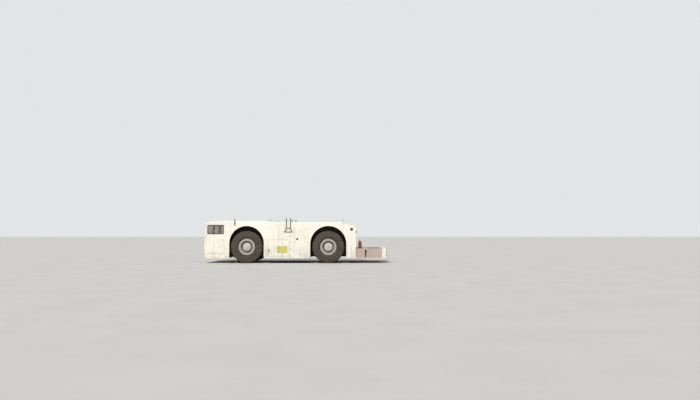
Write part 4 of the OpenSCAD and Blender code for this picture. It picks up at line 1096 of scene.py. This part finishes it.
class TRACTOR_OT_seats(bpy.types.Operator):
    """Model a seat, its blown cushions, shell and pedestal, and set one on each side of the cab"""

    bl_idname = "tractor.seats"
    bl_label = "Seats"

    def execute(self, context):
        settings = context.scene.tractor_seat
        low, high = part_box("cab_seats")
        half_width, inset = 0.24, 0.012
        x, y, z = low.x + 0.035, high.y - half_width, FLOOR
        cushion = blown_pad((x + 0.05, y - 0.24 + inset, z + 0.215), (x + 0.49, y + 0.24 - inset, z + 0.288),
                            0.025, settings, [(1, y - 0.14), (1, y + 0.14), (0, x + 0.2), (0, x + 0.35)])
        back = blown_pad((x + 0.03, y - 0.23 + inset, z + 0.3), (x + 0.10, y + 0.23 - inset, z + 0.86),
                         0.025, settings, [(1, y - 0.13), (1, y + 0.13), (2, z + 0.45), (2, z + 0.62)])
        head = blown_pad((x + 0.012, y - 0.13 + inset, z + 0.9), (x + 0.075, y + 0.13 - inset, z + 1.065),
                         0.022, settings)
        lean = math.radians(6)
        for pad in (back, head):
            tilt(pad, lean, (x + 0.05, y, z + 0.28))
        across = high.y - low.y - 2 * half_width
        for model, name in ((cushion, "seat_cushion"), (back, "seat_back"), (head, "seat_headrest")):
            for side_name, shift in (("left", 0), ("right", -across)):
                pad = copy_of(model, f"{name}_{side_name}", (0, shift, 0))
                finish(pad, "seat_vinyl")
            bpy.data.objects.remove(model)
        shell = slab((0.04, -0.22, 0.192), (0.47, 0.22, 0.214), 0.008, 3, at=(x, y, z))
        pedestal = slab((0.07, -0.17, 0.001), (0.41, 0.17, 0.19), 0.012, 3, at=(x, y, z))
        folds = [slab((0.062, -0.178, level), (0.418, 0.178, level + 0.018), 0.008, at=(x, y, z))
                 for level in (0.05, 0.09, 0.13)]
        posts = [rod((0.02, dy, 0.80), (0.02, dy, 0.92), 0.007, 16, at=(x, y, z)) for dy in (-0.06, 0.06)]
        seat = join(shell, pedestal, *folds, *posts)
        frames = fit("seat_frames", [seat, copy_of(seat, shift=(0, -across, 0))], "trim_plastic")
        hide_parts("cab_seats")
        return {"FINISHED"}


class TRACTOR_OT_dashboard(bpy.types.Operator):
    """Model the instruments, switches, levers and pedals at the driver's place, and the cab's mats"""

    bl_idname = "tractor.dashboard"
    bl_label = "Dashboard"

    def execute(self, context):
        x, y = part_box("cab_controls")[1].x, DRIVER_Y
        panel = slab((x - 0.16, y - 0.24, 1.262), (x - 0.06, y + 0.24, 1.43), 0.012, 3)
        fit("instrument_panel", [panel], "trim_plastic")
        faces, rims, marks = [], [], []
        for dy, radius in ((-0.15, 0.038), (-0.05, 0.044), (0.055, 0.044), (0.155, 0.038)):
            dial = Vector((x - 0.161, y + dy, 1.378))
            faces.append(rod((0, 0, 0), (-0.003, 0, 0), radius, 40, 0.001, at=dial))
            rims.append(turned([(0, radius), (-0.009, radius), (-0.010, radius + 0.003),
                                (-0.007, radius + 0.006), (0, radius + 0.006)], dial, X, 40, closed=True))
            tick = slab((-0.0045, -0.0012, radius * 0.72), (-0.0028, 0.0012, radius * 0.92), 0.0004, 1, dial)
            needle = slab((-0.006, -0.0012, -0.004), (-0.0045, 0.0012, radius * 0.7), 0.0004, 1, dial)
            marks += [ring_of(tick, 12, dial, X), needle]
        fit("dial_faces", faces, "dial_face")
        fit("dial_rims", rims, "bare_steel")
        fit("dial_marks", marks, "marking_white", as_shaded=True)
        switches = row(slab((x - 0.26, -0.22, 1.235), (x - 0.225, -0.19, 1.262), 0.004), 12, (0, 0.036, 0))
        lever_x, lever_y = CAB_REAR + 0.42, 0.1
        lever = rod((lever_x, lever_y, 0.92), (lever_x + 0.02, lever_y, 1.1), 0.009, 16)
        knob = rod((lever_x + 0.02, lever_y, 1.095), (lever_x + 0.025, lever_y, 1.15), 0.02, 24, 0.008)
        pedals = [slab((4.2, y + dy, 0.52), (4.215, y + dy + 0.09, 0.66), 0.004) for dy in (-0.14, 0.02)]
        fit("driver_controls", [switches, lever, knob, *pedals], "seal_rubber")
        mat = slab((CAB_REAR + 0.60, 0.22, FLOOR), (x - 0.15, 1.30, FLOOR + 0.007), 0.003)
        sink(mat, lambda face: face.normal.z > 0.9, 0.03, (0, 0, -0.003))
        fit("cab_mats", [mat], "floor_rubber", both_sides=True, as_shaded=True)
        return {"FINISHED"}


class TRACTOR_OT_stage(bpy.types.Operator):
    """Lay the floor, light the tractor softly and set the camera"""

    bl_idname = "tractor.stage"
    bl_label = "Stage"

    def execute(self, context):
        settings = context.scene.tractor_stage
        bpy.ops.object.select_all(action="DESELECT")
        bpy.ops.mesh.primitive_plane_add(size=400)
        floor = named(added(), "floor")
        f = Finish("floor", 0.9)
        f.coat(f.clouded(settings.floor_colour, 0.95, 0.35, 0.8, 6))
        floor.data.materials.append(FINISHES["floor"])
        world = bpy.data.worlds.new("pale_sky")
        context.scene.world = world
        world.use_nodes = True
        nodes, links = world.node_tree.nodes, world.node_tree.links
        sky = nodes["Background"]
        sky.inputs["Color"].default_value = (0.93, 0.95, 1.0, 1)
        sky.inputs["Strength"].default_value = settings.sky_strength
        seen = nodes.new("ShaderNodeBackground")
        seen.inputs["Color"].default_value = (*srgb(226, 228, 230), 1)
        rays = nodes.new("ShaderNodeLightPath")
        direct = nodes.new("ShaderNodeMath")
        direct.operation = "MAXIMUM"
        links.new(rays.outputs["Is Camera Ray"], direct.inputs[0])
        links.new(rays.outputs["Is Transmission Ray"], direct.inputs[1])
        mix = nodes.new("ShaderNodeMixShader")
        for socket, source in enumerate((direct, sky, seen)):
            links.new(source.outputs[0], mix.inputs[socket])
        links.new(mix.outputs[0], nodes["World Output"].inputs["Surface"])
        bpy.ops.object.light_add(type="SUN", rotation=(math.radians(-46), math.radians(16), 0))
        sun = context.active_object.data
        sun.energy = settings.key_strength
        sun.angle = math.radians(12)
        sun.color = (1.0, 0.97, 0.92)
        bpy.ops.object.camera_add(location=(settings.station, settings.distance, settings.eye_height),
                                  rotation=(math.radians(90) + settings.tilt, 0, math.pi))
        camera = context.active_object
        camera.data.lens = settings.lens
        camera.data.sensor_width = 36
        camera.data.clip_end = 500
        context.scene.camera = camera
        context.scene.view_settings.view_transform = "Standard"
        return {"FINISHED"}


STEPS = (TRACTOR_OT_finishes, TRACTOR_OT_tyres, TRACTOR_OT_wheel_fittings, TRACTOR_OT_headlamps,
         TRACTOR_OT_tail_lamps, TRACTOR_OT_window_trim, TRACTOR_OT_side_fittings, TRACTOR_OT_deck_fittings,
         TRACTOR_OT_axle_fittings, TRACTOR_OT_extinguisher, TRACTOR_OT_seats, TRACTOR_OT_dashboard,
         TRACTOR_OT_stage)


class TRACTOR_PT_panel(bpy.types.Panel):
    """Steps of dressing the tractor"""

    bl_idname = "TRACTOR_PT_panel"
    bl_label = "Pushback tractor"
    bl_space_type = "VIEW_3D"
    bl_region_type = "UI"
    bl_category = "Tractor"

    def draw(self, context):
        for step in STEPS:
            self.layout.operator(step.bl_idname)


SETTINGS = {"tractor_finish": FinishSettings, "tractor_tyre": TyreSettings, "tractor_seat": SeatSettings,
            "tractor_stage": StageSettings}


def register():
    for group in SETTINGS.values():
        bpy.utils.register_class(group)
    for name, group in SETTINGS.items():
        setattr(bpy.types.Scene, name, bpy.props.PointerProperty(type=group))
    for cls in (*STEPS, TRACTOR_PT_panel):
        bpy.utils.register_class(cls)


def unregister():
    for cls in reversed((*STEPS, TRACTOR_PT_panel)):
        bpy.utils.unregister_class(cls)
    for name in SETTINGS:
        delattr(bpy.types.Scene, name)
    for group in reversed(SETTINGS.values()):
        bpy.utils.unregister_class(group)


def main():
    """Dresses the tractor step by step."""
    register()
    for step in STEPS:
        group, name = step.bl_idname.split(".")
        getattr(getattr(bpy.ops, group), name)()
    bpy.ops.object.select_all(action="DESELECT")


if __name__ == "__main__":
    main()
